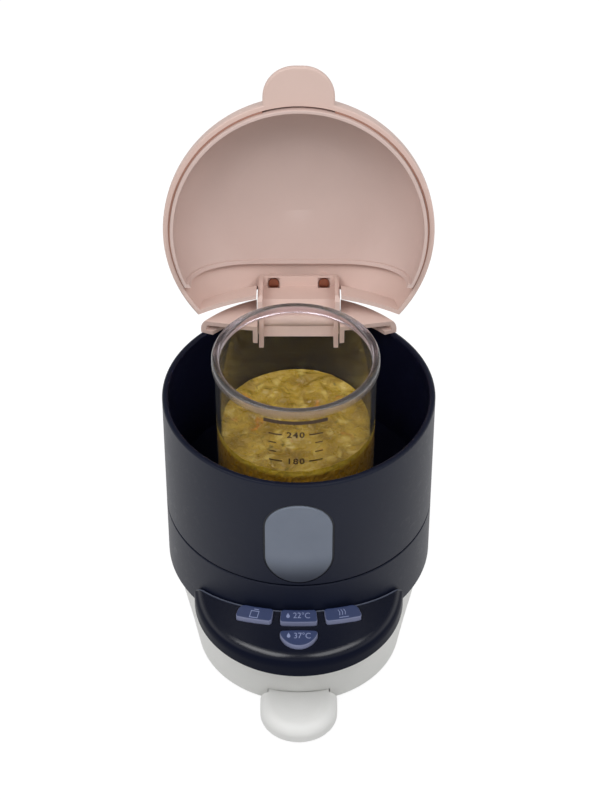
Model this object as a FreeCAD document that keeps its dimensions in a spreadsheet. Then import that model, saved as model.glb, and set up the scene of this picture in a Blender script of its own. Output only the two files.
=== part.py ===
"""Baby bottle and food warmer: a round heating chamber with a hinged lid, a jar, a button
console at the front, and a pale foot with a slide-out drip tray.

Millimetres. The origin is on the body's axis at table level, +Z is up and the front faces -Y.
The lid is built shut, in the body's own frame, and then turned open about its hinge pin.
"""
import FreeCAD, Part
import os
import re
import Sketcher
from FreeCAD import Placement, Rotation, Vector

doc = FreeCAD.newDocument("bottle_and_food_warmer")

SIZES = {
    # Round body: sleeve above the seam, lower shell below it
    "body_radius": 65,
    "rim_height": 150,
    "seam_height": 84.2,
    "seam_gap": 0.8,
    "shell_bottom": 50,
    "sleeve_wall": 3,
    "shell_wall": 3,
    "shell_ring_margin": 1.2,
    "shell_ring_thickness": 2.5,
    "body_screw_inset": 7.5,
    "shelf_width": 10,
    "shelf_thickness": 2.5,
    "floor_thickness": 3,
    "rim_rounding": 1.2,
    "seam_rounding": 0.6,
    "fit_gap": 0.3,
    # Window in the sleeve's front
    "window_half_width": 15.7,
    "window_sill": 2.5,
    "window_drop": 13,
    "window_proud": 0.5,
    "window_rounding": 0.4,
    "gasket_width": 1,
    # Heating stack under the chamber floor
    "plate_radius": 34,
    "plate_rise": 0.6,
    "plate_flange_width": 4,
    "plate_flange_thickness": 2.5,
    "plate_seal_thickness": 1.5,
    "clamp_reach": 6,
    "clamp_thickness": 1.5,
    "clamp_overlap": 3,
    "clamp_boss_radius": 2.8,
    "heater_ring_radius": 24,
    "heater_tube_radius": 3,
    "heater_pin_spread": 7,
    "heater_pin_radius": 1.8,
    "heater_pin_length": 8,
    "thermostat_radius": 9,
    "thermostat_height": 6,
    "fuse_radius": 2,
    "fuse_length": 13,
    "fuse_offset": 14,
    "sensor_radius": 2.2,
    "sensor_length": 12,
    "sensor_offset": 14,
    # Overflow pipe behind the jar
    "pipe_clearance": 5.5,
    "pipe_radius": 3.2,
    "pipe_bore": 2.4,
    "pipe_drop": 24,
    # Screws
    "screw_radius": 1.4,
    "screw_head_radius": 2.6,
    "screw_head_height": 1.8,
    "screw_length": 9,
    "boss_radius": 3.6,
    "boss_height": 8,
    # Pale base
    "base_bottom": 1.6,
    "base_wall": 2.6,
    "base_low_radius": 54,
    "base_turn_flare": 1.4,
    "base_bulge_flare": 4.9,
    "base_top_flare": 6,
    "base_bulge_height": 30,
    "base_turn_height": 10,
    "nose_offset": 13,
    "nose_low_step": 3,
    "nose_turn_step": 3.6,
    "nose_bulge_step": 5.3,
    "nose_top_step": 5.6,
    "base_roof_thickness": 2.8,
    "base_roof_ledge": 16,
    "base_column_inset": 9.5,
    "base_plate_thickness": 2.5,
    "base_plate_height": 2,
    "foot_width": 9,
    "foot_inset": 5,
    # Mains gland at the back
    "gland_height": 20,
    "gland_radius": 5.5,
    "gland_flange_radius": 7.5,
    "gland_flange_thickness": 2.5,
    "gland_length": 8,
    "gland_bore": 3.4,
    # Drip tray and its pull
    "tray_half_width": 15,
    "tray_height": 4,
    "tray_wall": 1.4,
    "tray_back_inset": 6,
    "tray_gap": 0.4,
    "rail_width": 2,
    "rail_height": 3,
    "pull_half_width": 19,
    "pull_gap": 1.4,
    "pull_length": 25.1,
    "pull_underside": 1.6,
    "pull_top": 10.3,
    "pull_lap": 3,
    "pull_rounding": 5.5,
    "pull_dish_radius": 70,
    "pull_dish_depth": 0.8,
    # Console
    "console_radius": 51,
    "console_setback": 25,
    "console_rise": 19,
    "console_slope": 18,
    "console_crown": 105,
    "console_wall": 2.5,
    "console_edge": 7,
    "console_lip_rounding": 1.2,
    "console_floor_thickness": 2.2,
    # Buttons
    "button_setback": 2,
    "button_depth": 6.3,
    "button_half_angle": 7.1,
    "button_pitch_angle": 17.4,
    "button_corner": 1.4,
    "button_end_corner": 3.2,
    "button_proud": 2.2,
    "button_rounding": 0.5,
    "button_gap": 0.4,
    "button_flange_reach": 0.5,
    "button_flange_thickness": 1.2,
    "button_travel": 0.8,
    "button_stem_radius": 2,
    "moon_radius": 9.6,
    "moon_gap": 3.7,
    "moon_depth": 7.8,
    # Boards
    "board_thickness": 1.6,
    "control_board_lift": 1,
    "control_board_inset": 3,
    "control_post_radius": 2.5,
    "switch_width": 6,
    "switch_height": 3,
    "plunger_radius": 1.5,
    "plunger_height": 0.5,
    "power_board_height": 24,
    "power_board_half_width": 28,
    "power_board_half_depth": 24,
    "power_post_radius": 3,
    "power_post_x": 24,
    "power_post_y": 20,
    "terminal_block_height": 10,
    "lead_radius": 1.3,
    "ribbon_half_width": 5,
    "ribbon_thickness": 1,
    # Hinge
    "pivot_setback": 18,
    "pivot_rise": 6.3,
    "open_angle": 107,
    "pin_radius": 1.8,
    "pin_clearance": 0.06,
    "pin_half_length": 26,
    "arm_half_width": 20,
    "arm_wall": 2.4,
    "arm_play": 0.6,
    "arm_front_gap": 0.4,
    "arm_toe": 3,
    "arm_corner": 2,
    "arm_depth": 8,
    "arm_pad_rise": 27.5,
    "arm_screw_spread": 12.4,
    "arm_screw_inset": 4.2,
    "neck_setback": 3.5,
    "neck_rise": 8,
    "neck_shoulder": 4.7,
    "tail_reach": 13,
    "tail_web": 8,
    "knuckle_wall": 1.5,
    "tail_rise": 1.6,
    "channel_drop": 1.5,
    "channel_rise": 4,
    "collar_arc_gap": 1.6,
    "collar_rise": 11,
    "collar_drop": 10,
    "collar_bridge": 5,
    "collar_wall": 2.4,
    "collar_rounding": 9,
    "collar_crown": 300,
    "collar_seat": 2,
    # Lid
    "lid_lift": 0.6,
    "lid_height": 36.4,
    "lid_wall": 2.4,
    "lid_corner": 32,
    "lid_crown": 1.2,
    "lid_rim_rounding": 0.8,
    "lid_rear_radius": 126,
    "lid_rear_setback": 32,
    "lid_rear_step": 12.5,
    "lid_rear_slant": 9,
    "lid_rear_wall": 2,
    "liner_gap": 1,
    "liner_wall": 1.6,
    "liner_plug": 2.4,
    "liner_lip": 1.2,
    "liner_lip_width": 1.8,
    "liner_rim_rounding": 0.6,
    "liner_rear_gap": 5.4,
    "tab_half_width": 17,
    "tab_reach": 16.6,
    "tab_thickness": 3.4,
    "tab_corner": 15,
    "tab_rounding": 1.2,
    "seal_depth": 3,
    "seal_gap": 0.1,
    # Jar and food
    "jar_offset": 3.5,
    "jar_shift": 1.4,
    "jar_height": 87,
    "jar_taper": 0.6,
    "jar_room": 23.8,
    "jar_bead": 1.4,
    "jar_bead_height": 5,
    "jar_rim_rounding": 1.5,
    "jar_bead_rounding": 0.6,
    "jar_wall": 2.1,
    "jar_floor": 4,
    "jar_heel": 5,
    "food_depth": 43.4,
    "food_gap": 0.1,
}

sheet = doc.addObject("Spreadsheet::Sheet", "sizes")
for row, (alias, number) in enumerate(SIZES.items(), start=1):
    sheet.set(f"A{row}", alias)
    sheet.set(f"B{row}", str(number))
    sheet.setAlias(f"B{row}", alias)
doc.recompute()

# Places and radii that follow from the sizes, by name
DERIVED = {
    "chamber_radius": "body_radius - sleeve_wall",
    "window_bottom": "seam_height + seam_gap + window_sill",
    "window_top": "rim_height - window_drop",
    "pipe_offset": "plate_radius + plate_flange_width + pipe_clearance",
    "pipe_top": "rim_height - pipe_drop",
    "base_turn_radius": "base_low_radius + base_turn_flare",
    "base_bulge_radius": "base_low_radius + base_bulge_flare",
    "base_top_radius": "base_low_radius + base_top_flare",
    "nose_low_radius": "base_low_radius - nose_low_step",
    "nose_turn_radius": "base_turn_radius - nose_turn_step",
    "nose_bulge_radius": "base_bulge_radius - nose_bulge_step",
    "nose_top_radius": "base_top_radius - nose_top_step",
    "base_roof_hole": "base_top_radius - base_roof_ledge",
    "base_column_circle": "base_low_radius - base_column_inset",
    "foot_outer": "base_low_radius - foot_inset",
    "foot_inner": "foot_outer - foot_width",
    "tray_back": "base_low_radius - tray_back_inset",
    "pull_start": "nose_offset + nose_low_radius + pull_gap",
    "pull_front": "pull_start + pull_length",
    "console_offset": "body_radius - console_setback",
    "console_top": "shell_bottom + console_rise",
    "button_inner": "body_radius + button_setback",
    "button_outer": "button_inner + button_depth",
    "moon_offset": "button_outer + moon_gap",
    "pivot_offset": "body_radius - pivot_setback",
    "lid_rear_edge": "body_radius - lid_rear_setback",
    "liner_rear": "lid_rear_edge - liner_rear_gap",
    "tab_end": "body_radius + tab_reach",
    "jar_high_radius": "chamber_radius - jar_room",
    "jar_low_radius": "jar_high_radius - jar_taper",
}

# Heights and radii that several pieces share, as formulas over the sheet
FLOOR_BOTTOM = "(seam_height + seam_gap)"
FLOOR_TOP = f"({FLOOR_BOTTOM} + floor_thickness)"
PLATE_FLANGE_TOP = f"({FLOOR_BOTTOM} - plate_seal_thickness)"
PLATE_BOTTOM = f"({PLATE_FLANGE_TOP} - plate_flange_thickness)"
PLATE_FLANGE_RADIUS = "(plate_radius + plate_flange_width)"
CLAMP_BOTTOM = f"({PLATE_BOTTOM} - clamp_thickness)"
CLAMP_RADIUS = f"({PLATE_FLANGE_RADIUS} + clamp_reach)"
CLAMP_SCREW_CIRCLE = f"({PLATE_FLANGE_RADIUS} + clamp_reach / 2)"
SHELF_TOP = f"({PLATE_BOTTOM} + clamp_thickness)"
SHELF_INNER = "(body_radius - shell_wall - shelf_width)"
SLEEVE_SCREW_CIRCLE = "(body_radius - shell_wall - shelf_width / 2)"
SHELL_RING_TOP = "(shell_bottom + shell_ring_thickness)"
BASE_SCREW_CIRCLE = "(base_top_radius - body_screw_inset)"
SHELL_RING_INNER = f"({BASE_SCREW_CIRCLE} - boss_radius - shell_ring_margin)"
BASE_ROOF_BOTTOM = "(shell_bottom - base_roof_thickness)"
PLATE_TOP = "(base_plate_height + base_plate_thickness)"
TRAY_BOTTOM = f"({PLATE_TOP} + tray_gap)"
TRAY_TOP = f"({TRAY_BOTTOM} + tray_height)"
CONSOLE_REACH = "(2 * console_radius)"
CONSOLE_FLOOR_TOP = "(shell_bottom + console_floor_thickness)"
CONTROL_BOARD_BOTTOM = f"({CONSOLE_FLOOR_TOP} + control_board_lift)"
CONTROL_BOARD_TOP = f"({CONTROL_BOARD_BOTTOM} + board_thickness)"
SWITCH_TOP = f"({CONTROL_BOARD_TOP} + switch_height + plunger_height)"
POWER_BOARD_TOP = "(power_board_height + board_thickness)"
PIVOT_HEIGHT = "(rim_height + pivot_rise)"
LID_EDGE = "(rim_height + lid_lift)"
LINER_INSET = "(lid_wall + liner_gap)"
REAR_CENTRE = "(lid_rear_edge + lid_rear_radius)"
ARM_INNER = "(arm_half_width - arm_wall)"
COLLAR_SLOT = "(arm_half_width + arm_play)"
JAR_BOTTOM = f"({FLOOR_TOP} + plate_rise)"
JAR_TOP = f"({JAR_BOTTOM} + jar_height)"

FUNCTIONS = {"sin", "cos", "tan", "sqrt", "pi"}
parts = {}


def formula(text):
    """The sheet's form of a formula written with bare names."""
    def cell(word):
        name = word.group()
        if name in DERIVED:
            return f"({formula(DERIVED[name])})"
        return name if name in FUNCTIONS else "sizes." + name
    return re.sub(r"[a-z][a-z_]*", cell, text)


def value(text):
    """The number that a formula has now."""
    return float(sheet.evalExpression(formula(text)))


def bind(item, **formulas):
    """Ties an object's properties to formulas over the sheet."""
    for name, text in formulas.items():
        item.setExpression(name, formula(text))


def move(item, x="0", y="0", z="0"):
    """Puts an object's own origin at a place given by formulas."""
    for letter, text in (("x", x), ("y", y), ("z", z)):
        item.setExpression(f"Placement.Base.{letter}", formula(text))


def box(name, low, high):
    """A block between two corners, each three formulas."""
    item = doc.addObject("Part::Box", name)
    for size, start, end in zip(("Length", "Width", "Height"), low, high):
        item.setExpression(size, formula(f"({end}) - ({start})"))
    move(item, *low)
    return item


def cylinder(name, radius, height, place=("0", "0", "0"), axis="Z"):
    """A round bar from a place along +X, +Y or +Z."""
    item = doc.addObject("Part::Cylinder", name)
    bind(item, Radius=radius, Height=height)
    turns = {"X": Rotation(Vector(0, 1, 0), 90), "Y": Rotation(Vector(1, 0, 0), -90), "Z": Rotation()}
    item.Placement = Placement(Vector(), turns[axis])
    move(item, *place)
    return item


def tube(name, outer, inner, height, place=("0", "0", "0"), axis="Z"):
    """A hollow round bar."""
    bar = cylinder(name + "_bar", outer, height, place, axis)
    return cut(name, bar, cylinder(name + "_hollow", inner, height, place, axis))


def fuse(name, *items):
    """One solid made of several overlapping or touching ones."""
    item = doc.addObject("Part::MultiFuse", name)
    item.Shapes = list(items)
    item.Refine = True
    return item


def cut(name, base, *tools):
    """A solid with others taken out of it."""
    item = doc.addObject("Part::Cut", name)
    item.Base = base
    item.Tool = tools[0] if len(tools) == 1 else fuse(name + "_tools", *tools)
    return item


def common(name, *items):
    """What several solids share."""
    item = doc.addObject("Part::MultiCommon", name)
    item.Shapes = list(items)
    return item


def group(name, items):
    """Like pieces kept as separate solids of one node."""
    item = doc.addObject("Part::Compound", name)
    item.Links = list(items)
    return item


def rounded(name, base, radius, chosen):
    """A solid with a radius on each edge that the test chooses, or with the radius that it names."""
    doc.recompute()
    item = doc.addObject("Part::Fillet", name)
    item.Base = base
    answers = [(number, chosen(edge)) for number, edge in enumerate(base.Shape.Edges, start=1)]
    item.Edges = [(number, value(radius or answer), value(radius or answer))
                  for number, answer in answers if answer]
    return item


def is_upright(edge):
    """Is the edge a straight line along Z?"""
    ends = [vertex.Point for vertex in edge.Vertexes]
    return len(ends) == 2 and (ends[1] - ends[0]).cross(Vector(0, 0, 1)).Length < 1e-4


def at_height(height):
    """A test for edges that lie in one level plane."""
    def lies_there(edge):
        bounds = edge.BoundBox
        return bounds.ZLength < 1e-4 and abs(bounds.ZMin - value(height)) < 1e-3
    return lies_there


def outline(sketch, points):
    """A closed outline of straight lines, each corner held at two formulas from the sketch's origin."""
    corners = [Vector(value(across), value(up), 0) for across, up in points]
    count = len(points)
    for number in range(count):
        line = Part.LineSegment(corners[number], corners[(number + 1) % count])
        sketch.addGeometry(line, False)
    for number, (across, up) in enumerate(points):
        sketch.addConstraint(Sketcher.Constraint("Coincident", (number - 1) % count, 2, number, 1))
        for kind, text in (("DistanceX", across), ("DistanceY", up)):
            held = sketch.addConstraint(Sketcher.Constraint(kind, -1, 1, number, 1, value(text)))
            sketch.setExpression(f"Constraints[{held}]", formula(text))


def new_sketch(body, plane_role):
    """A sketch on one of a body's own origin planes."""
    sketch = body.newObject("Sketcher::SketchObject", body.Name + "_outline")
    plane = next(item for item in body.Origin.OriginFeatures if item.Role == plane_role)
    sketch.AttachmentSupport = (plane, [""])
    sketch.MapMode = "FlatFace"
    return sketch


def turned(name, points):
    """A body turned about its own Z axis from an outline of radius and height."""
    body = doc.addObject("PartDesign::Body", name)
    sketch = new_sketch(body, "XZ_Plane")
    outline(sketch, points)
    turn = body.newObject("PartDesign::Revolution", name + "_turn")
    turn.Profile = sketch
    turn.ReferenceAxis = (sketch, ["V_Axis"])
    turn.Angle = 360
    body.Tip = turn
    return body


def side_cut(name, points, half_width):
    """A body with one outline in the YZ plane, as thick to the left as to the right."""
    body = doc.addObject("PartDesign::Body", name)
    sketch = new_sketch(body, "YZ_Plane")
    outline(sketch, points)
    pad = body.newObject("PartDesign::Pad", name + "_pad")
    pad.Profile = sketch
    pad.SideType = "Symmetric"
    bind(pad, Length=f"2 * ({half_width})")
    body.Tip = pad
    return body


def soften(body, radius, chosen):
    """A radius on the chosen edges of a body's last feature."""
    doc.recompute()
    edges = [f"Edge{number}" for number, edge in enumerate(body.Tip.Shape.Edges, start=1) if chosen(edge)]
    fillet = body.newObject("PartDesign::Fillet", f"{body.Name}_round_{len(body.Group)}")
    fillet.Base = (body.Group[-2], edges)
    bind(fillet, Radius=radius)
    body.Tip = fillet
    return body


def around(circle, angle, centre_y="0"):
    """A place on a circle about the body's axis, as formulas."""
    return f"({circle}) * cos({angle})", f"({circle}) * sin({angle}) + ({centre_y})"


def screw_up(name, place, length="screw_length"):
    """A screw driven upwards: its head's underside seats at the place's height."""
    across, along, height = place
    head_place = (across, along, f"({height}) - screw_head_height")
    head = cylinder(name + "_head", "screw_head_radius", "screw_head_height", head_place)
    shank = cylinder(name + "_shank", "screw_radius", length, place)
    return fuse(name, head, shank)


def screw_down(name, place, length):
    """A screw driven downwards: its head's underside seats at the place's height."""
    across, along, height = place
    head = cylinder(name + "_head", "screw_head_radius", "screw_head_height", place)
    shank = cylinder(name + "_shank", "screw_radius", length, (across, along, f"({height}) - ({length})"))
    return fuse(name, head, shank)


def node(name, item):
    """Names a finished sub-part."""
    item.Label = name
    parts[name] = item
    return item


def turned_open(item):
    """Turns a lid piece about the hinge pin from shut to open."""
    item.Placement = Placement(Vector(), Rotation(Vector(-1, 0, 0), value("open_angle")))
    bind(item, **{"Placement.Rotation.Angle": "open_angle"})
    swing_y = f"pivot_offset * cos(open_angle) + {PIVOT_HEIGHT} * sin(open_angle)"
    swing_z = f"{PIVOT_HEIGHT} * cos(open_angle) - pivot_offset * sin(open_angle)"
    move(item, "0", f"pivot_offset - ({swing_y})", f"{PIVOT_HEIGHT} - ({swing_z})")
    return item


DIAGONALS = ("45", "135", "225", "315")
COLUMN_ANGLES = ("40", "140", "220", "320")


# Sleeve: the chamber's wall and floor in one moulding, with bosses under the floor
sleeve_turn = turned("sleeve_turn", [
    ("plate_radius + fit_gap", FLOOR_BOTTOM),
    ("body_radius", FLOOR_BOTTOM),
    ("body_radius", "rim_height"),
    ("chamber_radius", "rim_height"),
    ("chamber_radius", FLOOR_TOP),
    ("plate_radius + fit_gap", FLOOR_TOP),
])
soften(sleeve_turn, "rim_rounding", at_height("rim_height"))
soften(sleeve_turn, "seam_rounding", at_height(FLOOR_BOTTOM))
sleeve_bosses = []
for angle in DIAGONALS:
    across, along = around(SLEEVE_SCREW_CIRCLE, angle)
    height = f"{FLOOR_BOTTOM} - {SHELF_TOP} + floor_thickness / 2"
    sleeve_bosses.append(cylinder(f"sleeve_boss_{angle}", "boss_radius", height, (across, along, SHELF_TOP)))
for angle in DIAGONALS:
    across, along = around(CLAMP_SCREW_CIRCLE, angle)
    height = f"{FLOOR_BOTTOM} - {PLATE_BOTTOM} + floor_thickness / 2"
    sleeve_bosses.append(cylinder(f"clamp_boss_{angle}", "clamp_boss_radius", height,
                                  (across, along, PLATE_BOTTOM)))


def window_prism(name, grow):
    """An upright slot with round ends, run from front to back through the sleeve's front wall."""
    radius = f"window_half_width + {grow}"
    reach = "sleeve_wall * 8"
    front = "-body_radius - sleeve_wall"
    low, high = "(window_bottom + window_half_width)", "(window_top - window_half_width)"
    middle = box(name + "_middle", (f"-({radius})", front, low), (radius, f"{front} + {reach}", high))
    ends = [cylinder(f"{name}_{word}", radius, reach, ("0", front, height), "Y")
            for word, height in (("low", low), ("high", high))]
    return fuse(name, middle, *ends)


def window_ring(name, inner, outer):
    """A band of the sleeve's curve, tall enough for the window."""
    return tube(name, outer, inner, "window_top - window_bottom + 4 * gasket_width",
                ("0", "0", "window_bottom - 2 * gasket_width"))


WINDOW_INNER = "(chamber_radius + fit_gap)"
window_hole = common("window_hole", window_prism("window_hole_prism", "gasket_width"),
                     window_ring("window_hole_ring", "chamber_radius", "body_radius + sleeve_wall"))
pipe_hole = cylinder("pipe_hole", "pipe_radius + fit_gap / 3", "3 * floor_thickness",
                     ("0", "pipe_offset", f"{FLOOR_BOTTOM} - floor_thickness"))
sleeve_pilots = []
for angle in DIAGONALS:
    across, along = around(SLEEVE_SCREW_CIRCLE, angle)
    sleeve_pilots.append(cylinder(f"sleeve_pilot_{angle}", "screw_radius",
                                  f"{FLOOR_BOTTOM} - {SHELF_TOP} + floor_thickness / 3",
                                  (across, along, SHELF_TOP)))
for angle in DIAGONALS:
    across, along = around(CLAMP_SCREW_CIRCLE, angle)
    sleeve_pilots.append(cylinder(f"clamp_pilot_{angle}", "screw_radius",
                                  f"{FLOOR_BOTTOM} - {PLATE_BOTTOM} + floor_thickness / 3",
                                  (across, along, PLATE_BOTTOM)))
sleeve_solid = fuse("sleeve_solid", sleeve_turn, *sleeve_bosses)
node("upper_sleeve", cut("sleeve_cut", sleeve_solid, window_hole, pipe_hole, *sleeve_pilots))

# Window lens and the soft gasket that holds it in the sleeve
lens_prism = window_prism("lens_prism", "0")
lens_shape = common("lens_shape", lens_prism,
                    window_ring("lens_ring", WINDOW_INNER, "body_radius + window_proud"))


def is_lens_front(edge):
    """Is the edge on the lens's outer face?"""
    front = value("body_radius + window_proud")
    return all(abs(vertex.Point.x ** 2 + vertex.Point.y ** 2 - front ** 2) < 1e-2
               for vertex in edge.Vertexes)


node("window_lens", rounded("lens_round", lens_shape, "window_rounding", is_lens_front))
gasket_band = common("gasket_band", window_prism("gasket_outer", "gasket_width"),
                     window_ring("gasket_ring", WINDOW_INNER, "body_radius - window_proud"))
node("window_gasket", cut("gasket_cut", gasket_band, window_prism("gasket_inner", "0")))

# Lower shell: a round band with a shelf for the sleeve and a ring that sits on the base
shell_turn = turned("shell_turn", [
    (SHELL_RING_INNER, "shell_bottom"),
    ("body_radius", "shell_bottom"),
    ("body_radius", "seam_height"),
    ("body_radius - shell_wall", "seam_height"),
    ("body_radius - shell_wall", SHELF_TOP),
    (SHELF_INNER, SHELF_TOP),
    (SHELF_INNER, f"{SHELF_TOP} - shelf_thickness"),
    ("body_radius - shell_wall", f"{SHELF_TOP} - shelf_thickness"),
    ("body_radius - shell_wall", SHELL_RING_TOP),
    (SHELL_RING_INNER, SHELL_RING_TOP),
])
soften(shell_turn, "seam_rounding", at_height("seam_height"))
soften(shell_turn, "seam_rounding", at_height("shell_bottom"))
shell_bosses, shell_holes = [], []
for angle in DIAGONALS:
    across, along = around(BASE_SCREW_CIRCLE, angle)
    shell_bosses.append(cylinder(f"shell_boss_{angle}", "boss_radius", "boss_height + shell_ring_thickness",
                                 (across, along, "shell_bottom")))
    shell_holes.append(cylinder(f"shell_pilot_{angle}", "screw_radius", "screw_length - base_roof_thickness",
                                (across, along, "shell_bottom")))
for angle in DIAGONALS:
    across, along = around(SLEEVE_SCREW_CIRCLE, angle)
    shell_holes.append(cylinder(f"shelf_hole_{angle}", "screw_radius", "shelf_thickness",
                                (across, along, f"{SHELF_TOP} - shelf_thickness")))
ribbon_slot = box(
    "ribbon_slot",
    ("-ribbon_half_width - fit_gap", "-body_radius - shell_wall", f"{CONTROL_BOARD_TOP} - fit_gap"),
    ("ribbon_half_width + fit_gap", "-body_radius + 3 * shell_wall",
     f"{CONTROL_BOARD_TOP} + ribbon_thickness + fit_gap"))
shell_solid = fuse("shell_solid", shell_turn, *shell_bosses)
node("lower_shell", cut("shell_cut", shell_solid, ribbon_slot, *shell_holes))
node("sleeve_screws", group("sleeve_screw_set", [
    screw_up(f"sleeve_screw_{angle}", (*around(SLEEVE_SCREW_CIRCLE, angle), f"{SHELF_TOP} - shelf_thickness"),
             f"{FLOOR_BOTTOM} - {SHELF_TOP} + shelf_thickness")
    for angle in DIAGONALS]))

# Heating plate, its seal, the ring that clamps it, and what is fixed under it
node("heating_plate", turned("plate_turn", [
    ("0", PLATE_BOTTOM),
    (PLATE_FLANGE_RADIUS, PLATE_BOTTOM),
    (PLATE_FLANGE_RADIUS, PLATE_FLANGE_TOP),
    ("plate_radius", PLATE_FLANGE_TOP),
    ("plate_radius", JAR_BOTTOM),
    ("0", JAR_BOTTOM),
]))
node("plate_seal", tube("seal_ring", PLATE_FLANGE_RADIUS, "plate_radius + fit_gap", "plate_seal_thickness",
                        ("0", "0", PLATE_FLANGE_TOP)))
clamp_disc = tube("clamp_disc", CLAMP_RADIUS, f"{PLATE_FLANGE_RADIUS} - clamp_overlap", "clamp_thickness",
                  ("0", "0", CLAMP_BOTTOM))
clamp_cuts = [cylinder("clamp_pipe_notch", "pipe_radius + 3 * fit_gap", "3 * clamp_thickness",
                       ("0", "pipe_offset", f"{CLAMP_BOTTOM} - clamp_thickness"))]
for angle in DIAGONALS:
    clamp_cuts.append(cylinder(f"clamp_hole_{angle}", "screw_radius", "clamp_thickness",
                               (*around(CLAMP_SCREW_CIRCLE, angle), CLAMP_BOTTOM)))
node("plate_clamp", cut("clamp_cut", clamp_disc, *clamp_cuts))
node("clamp_screws", group("clamp_screw_set", [
    screw_up(f"clamp_screw_{angle}", (*around(CLAMP_SCREW_CIRCLE, angle), CLAMP_BOTTOM),
             f"{FLOOR_BOTTOM} - {CLAMP_BOTTOM}")
    for angle in DIAGONALS]))
HEATER_PIN_Y = "sqrt(heater_ring_radius * heater_ring_radius - heater_pin_spread * heater_pin_spread)"
HEATER_MIDDLE = f"({PLATE_BOTTOM} - heater_tube_radius)"
HEATER_PIN_BOTTOM = f"({HEATER_MIDDLE} - heater_pin_length)"
heater_ring = doc.addObject("Part::Torus", "heater_ring")
bind(heater_ring, Radius1="heater_ring_radius", Radius2="heater_tube_radius")
move(heater_ring, z=HEATER_MIDDLE)
heater_pins = [cylinder(f"heater_pin_{word}", "heater_pin_radius", "heater_pin_length",
                        (f"{sign}heater_pin_spread", HEATER_PIN_Y, HEATER_PIN_BOTTOM))
               for word, sign in (("left", "-"), ("right", ""))]
node("heater_element", fuse("heater_solid", heater_ring, *heater_pins))
node("thermostat", cylinder("thermostat_can", "thermostat_radius", "thermostat_height",
                            ("0", "0", f"{PLATE_BOTTOM} - thermostat_height")))
node("thermal_fuse", cylinder("fuse_can", "fuse_radius", "fuse_length",
                              ("-fuse_length / 2", "-fuse_offset", f"{PLATE_BOTTOM} - fuse_radius"), "X"))
node("temperature_sensor", cylinder("sensor_can", "sensor_radius", "sensor_length",
                                    ("sensor_offset", "0", f"{PLATE_BOTTOM} - sensor_length")))

# Overflow pipe: stands behind the jar and empties into the drip tray
node("overflow_pipe", tube("pipe_tube", "pipe_radius", "pipe_bore", f"pipe_top - {TRAY_TOP} - tray_gap",
                           ("0", "pipe_offset", f"{TRAY_TOP} + tray_gap")))


def egg(name, height, big, small):
    """The base's outline at one height: a round back and a smaller round nose, joined by tangent lines."""
    sketch = doc.addObject("Sketcher::SketchObject", name)
    sketch.Placement = Placement(Vector(0, 0, value(height)), Rotation())
    bind(sketch, **{"Placement.Base.z": height})
    back, nose, shift = value(big), value(small), value("nose_offset")
    lean = (back - nose) / shift
    side = (1 - lean * lean) ** 0.5
    ends = [(side * back, -lean * back), (side * nose, -shift - lean * nose)]
    back_arc = Part.Arc(Vector(*ends[0], 0), Vector(0, back, 0), Vector(-ends[0][0], ends[0][1], 0))
    nose_arc = Part.Arc(Vector(-ends[1][0], ends[1][1], 0), Vector(0, -shift - nose, 0), Vector(*ends[1], 0))
    left = Part.LineSegment(Vector(-ends[0][0], ends[0][1], 0), Vector(-ends[1][0], ends[1][1], 0))
    right = Part.LineSegment(Vector(*ends[1], 0), Vector(*ends[0], 0))
    for piece in (back_arc, left, nose_arc, right):
        sketch.addGeometry(piece, False)
    for first in range(4):
        sketch.addConstraint(Sketcher.Constraint("Tangent", first, 2, (first + 1) % 4, 1))
    sketch.addConstraint(Sketcher.Constraint("Coincident", 0, 3, -1, 1))
    sketch.addConstraint(Sketcher.Constraint("PointOnObject", 2, 3, -2))
    for kind, first, text in (("Radius", 0, big), ("Radius", 2, small)):
        held = sketch.addConstraint(Sketcher.Constraint(kind, first, value(text)))
        sketch.setExpression(f"Constraints[{held}]", formula(text))
    held = sketch.addConstraint(Sketcher.Constraint("DistanceY", 2, 3, -1, 1, shift))
    sketch.setExpression(f"Constraints[{held}]", formula("nose_offset"))
    return sketch


def base_loft(name, inset, bottom, top):
    """The base's body between two heights, drawn in by an inset."""
    levels = [
        (bottom, "base_low_radius", "nose_low_radius"),
        ("base_turn_height", "base_turn_radius", "nose_turn_radius"),
        ("base_bulge_height", "base_bulge_radius", "nose_bulge_radius"),
        (top, "base_top_radius", "nose_top_radius"),
    ]
    loft = doc.addObject("Part::Loft", name)
    loft.Sections = [egg(f"{name}_{number}", height, f"{big} - {inset}", f"{small} - {inset}")
                     for number, (height, big, small) in enumerate(levels)]
    loft.Solid = True
    loft.Ruled = False
    return loft


# Base: a pale hollow foot with a roof for the body, a tray mouth at the front and a gland at the back
base_outer = base_loft("base_outer", "0", "base_bottom", "shell_bottom")
base_inner = base_loft("base_inner", "base_wall", "base_bottom", BASE_ROOF_BOTTOM)
tray_mouth = box("tray_mouth",
                 ("-tray_half_width - tray_gap", "-pull_front", f"{TRAY_BOTTOM} - tray_gap"),
                 ("tray_half_width + tray_gap", "0", f"{TRAY_TOP} + tray_gap"))
GLAND_SEAT = "(base_low_radius + gland_flange_thickness)"
gland_place = ("0", f"{GLAND_SEAT} - gland_length", "gland_height")
gland_hole = cylinder("gland_hole", "gland_radius", "2 * gland_length", gland_place, "Y")
gland_spot = cylinder("gland_spot", "gland_flange_radius + fit_gap", "gland_length",
                      ("0", GLAND_SEAT, "gland_height"), "Y")
roof_hole = cylinder("roof_hole", "base_roof_hole", "3 * base_roof_thickness",
                     ("0", "0", f"{BASE_ROOF_BOTTOM} - base_roof_thickness"))
roof_pipe_hole = cylinder("roof_pipe_hole", "pipe_radius + 3 * fit_gap", "3 * base_roof_thickness",
                          ("0", "pipe_offset", f"{BASE_ROOF_BOTTOM} - base_roof_thickness"))
base_columns, base_pilots = [], []
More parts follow.
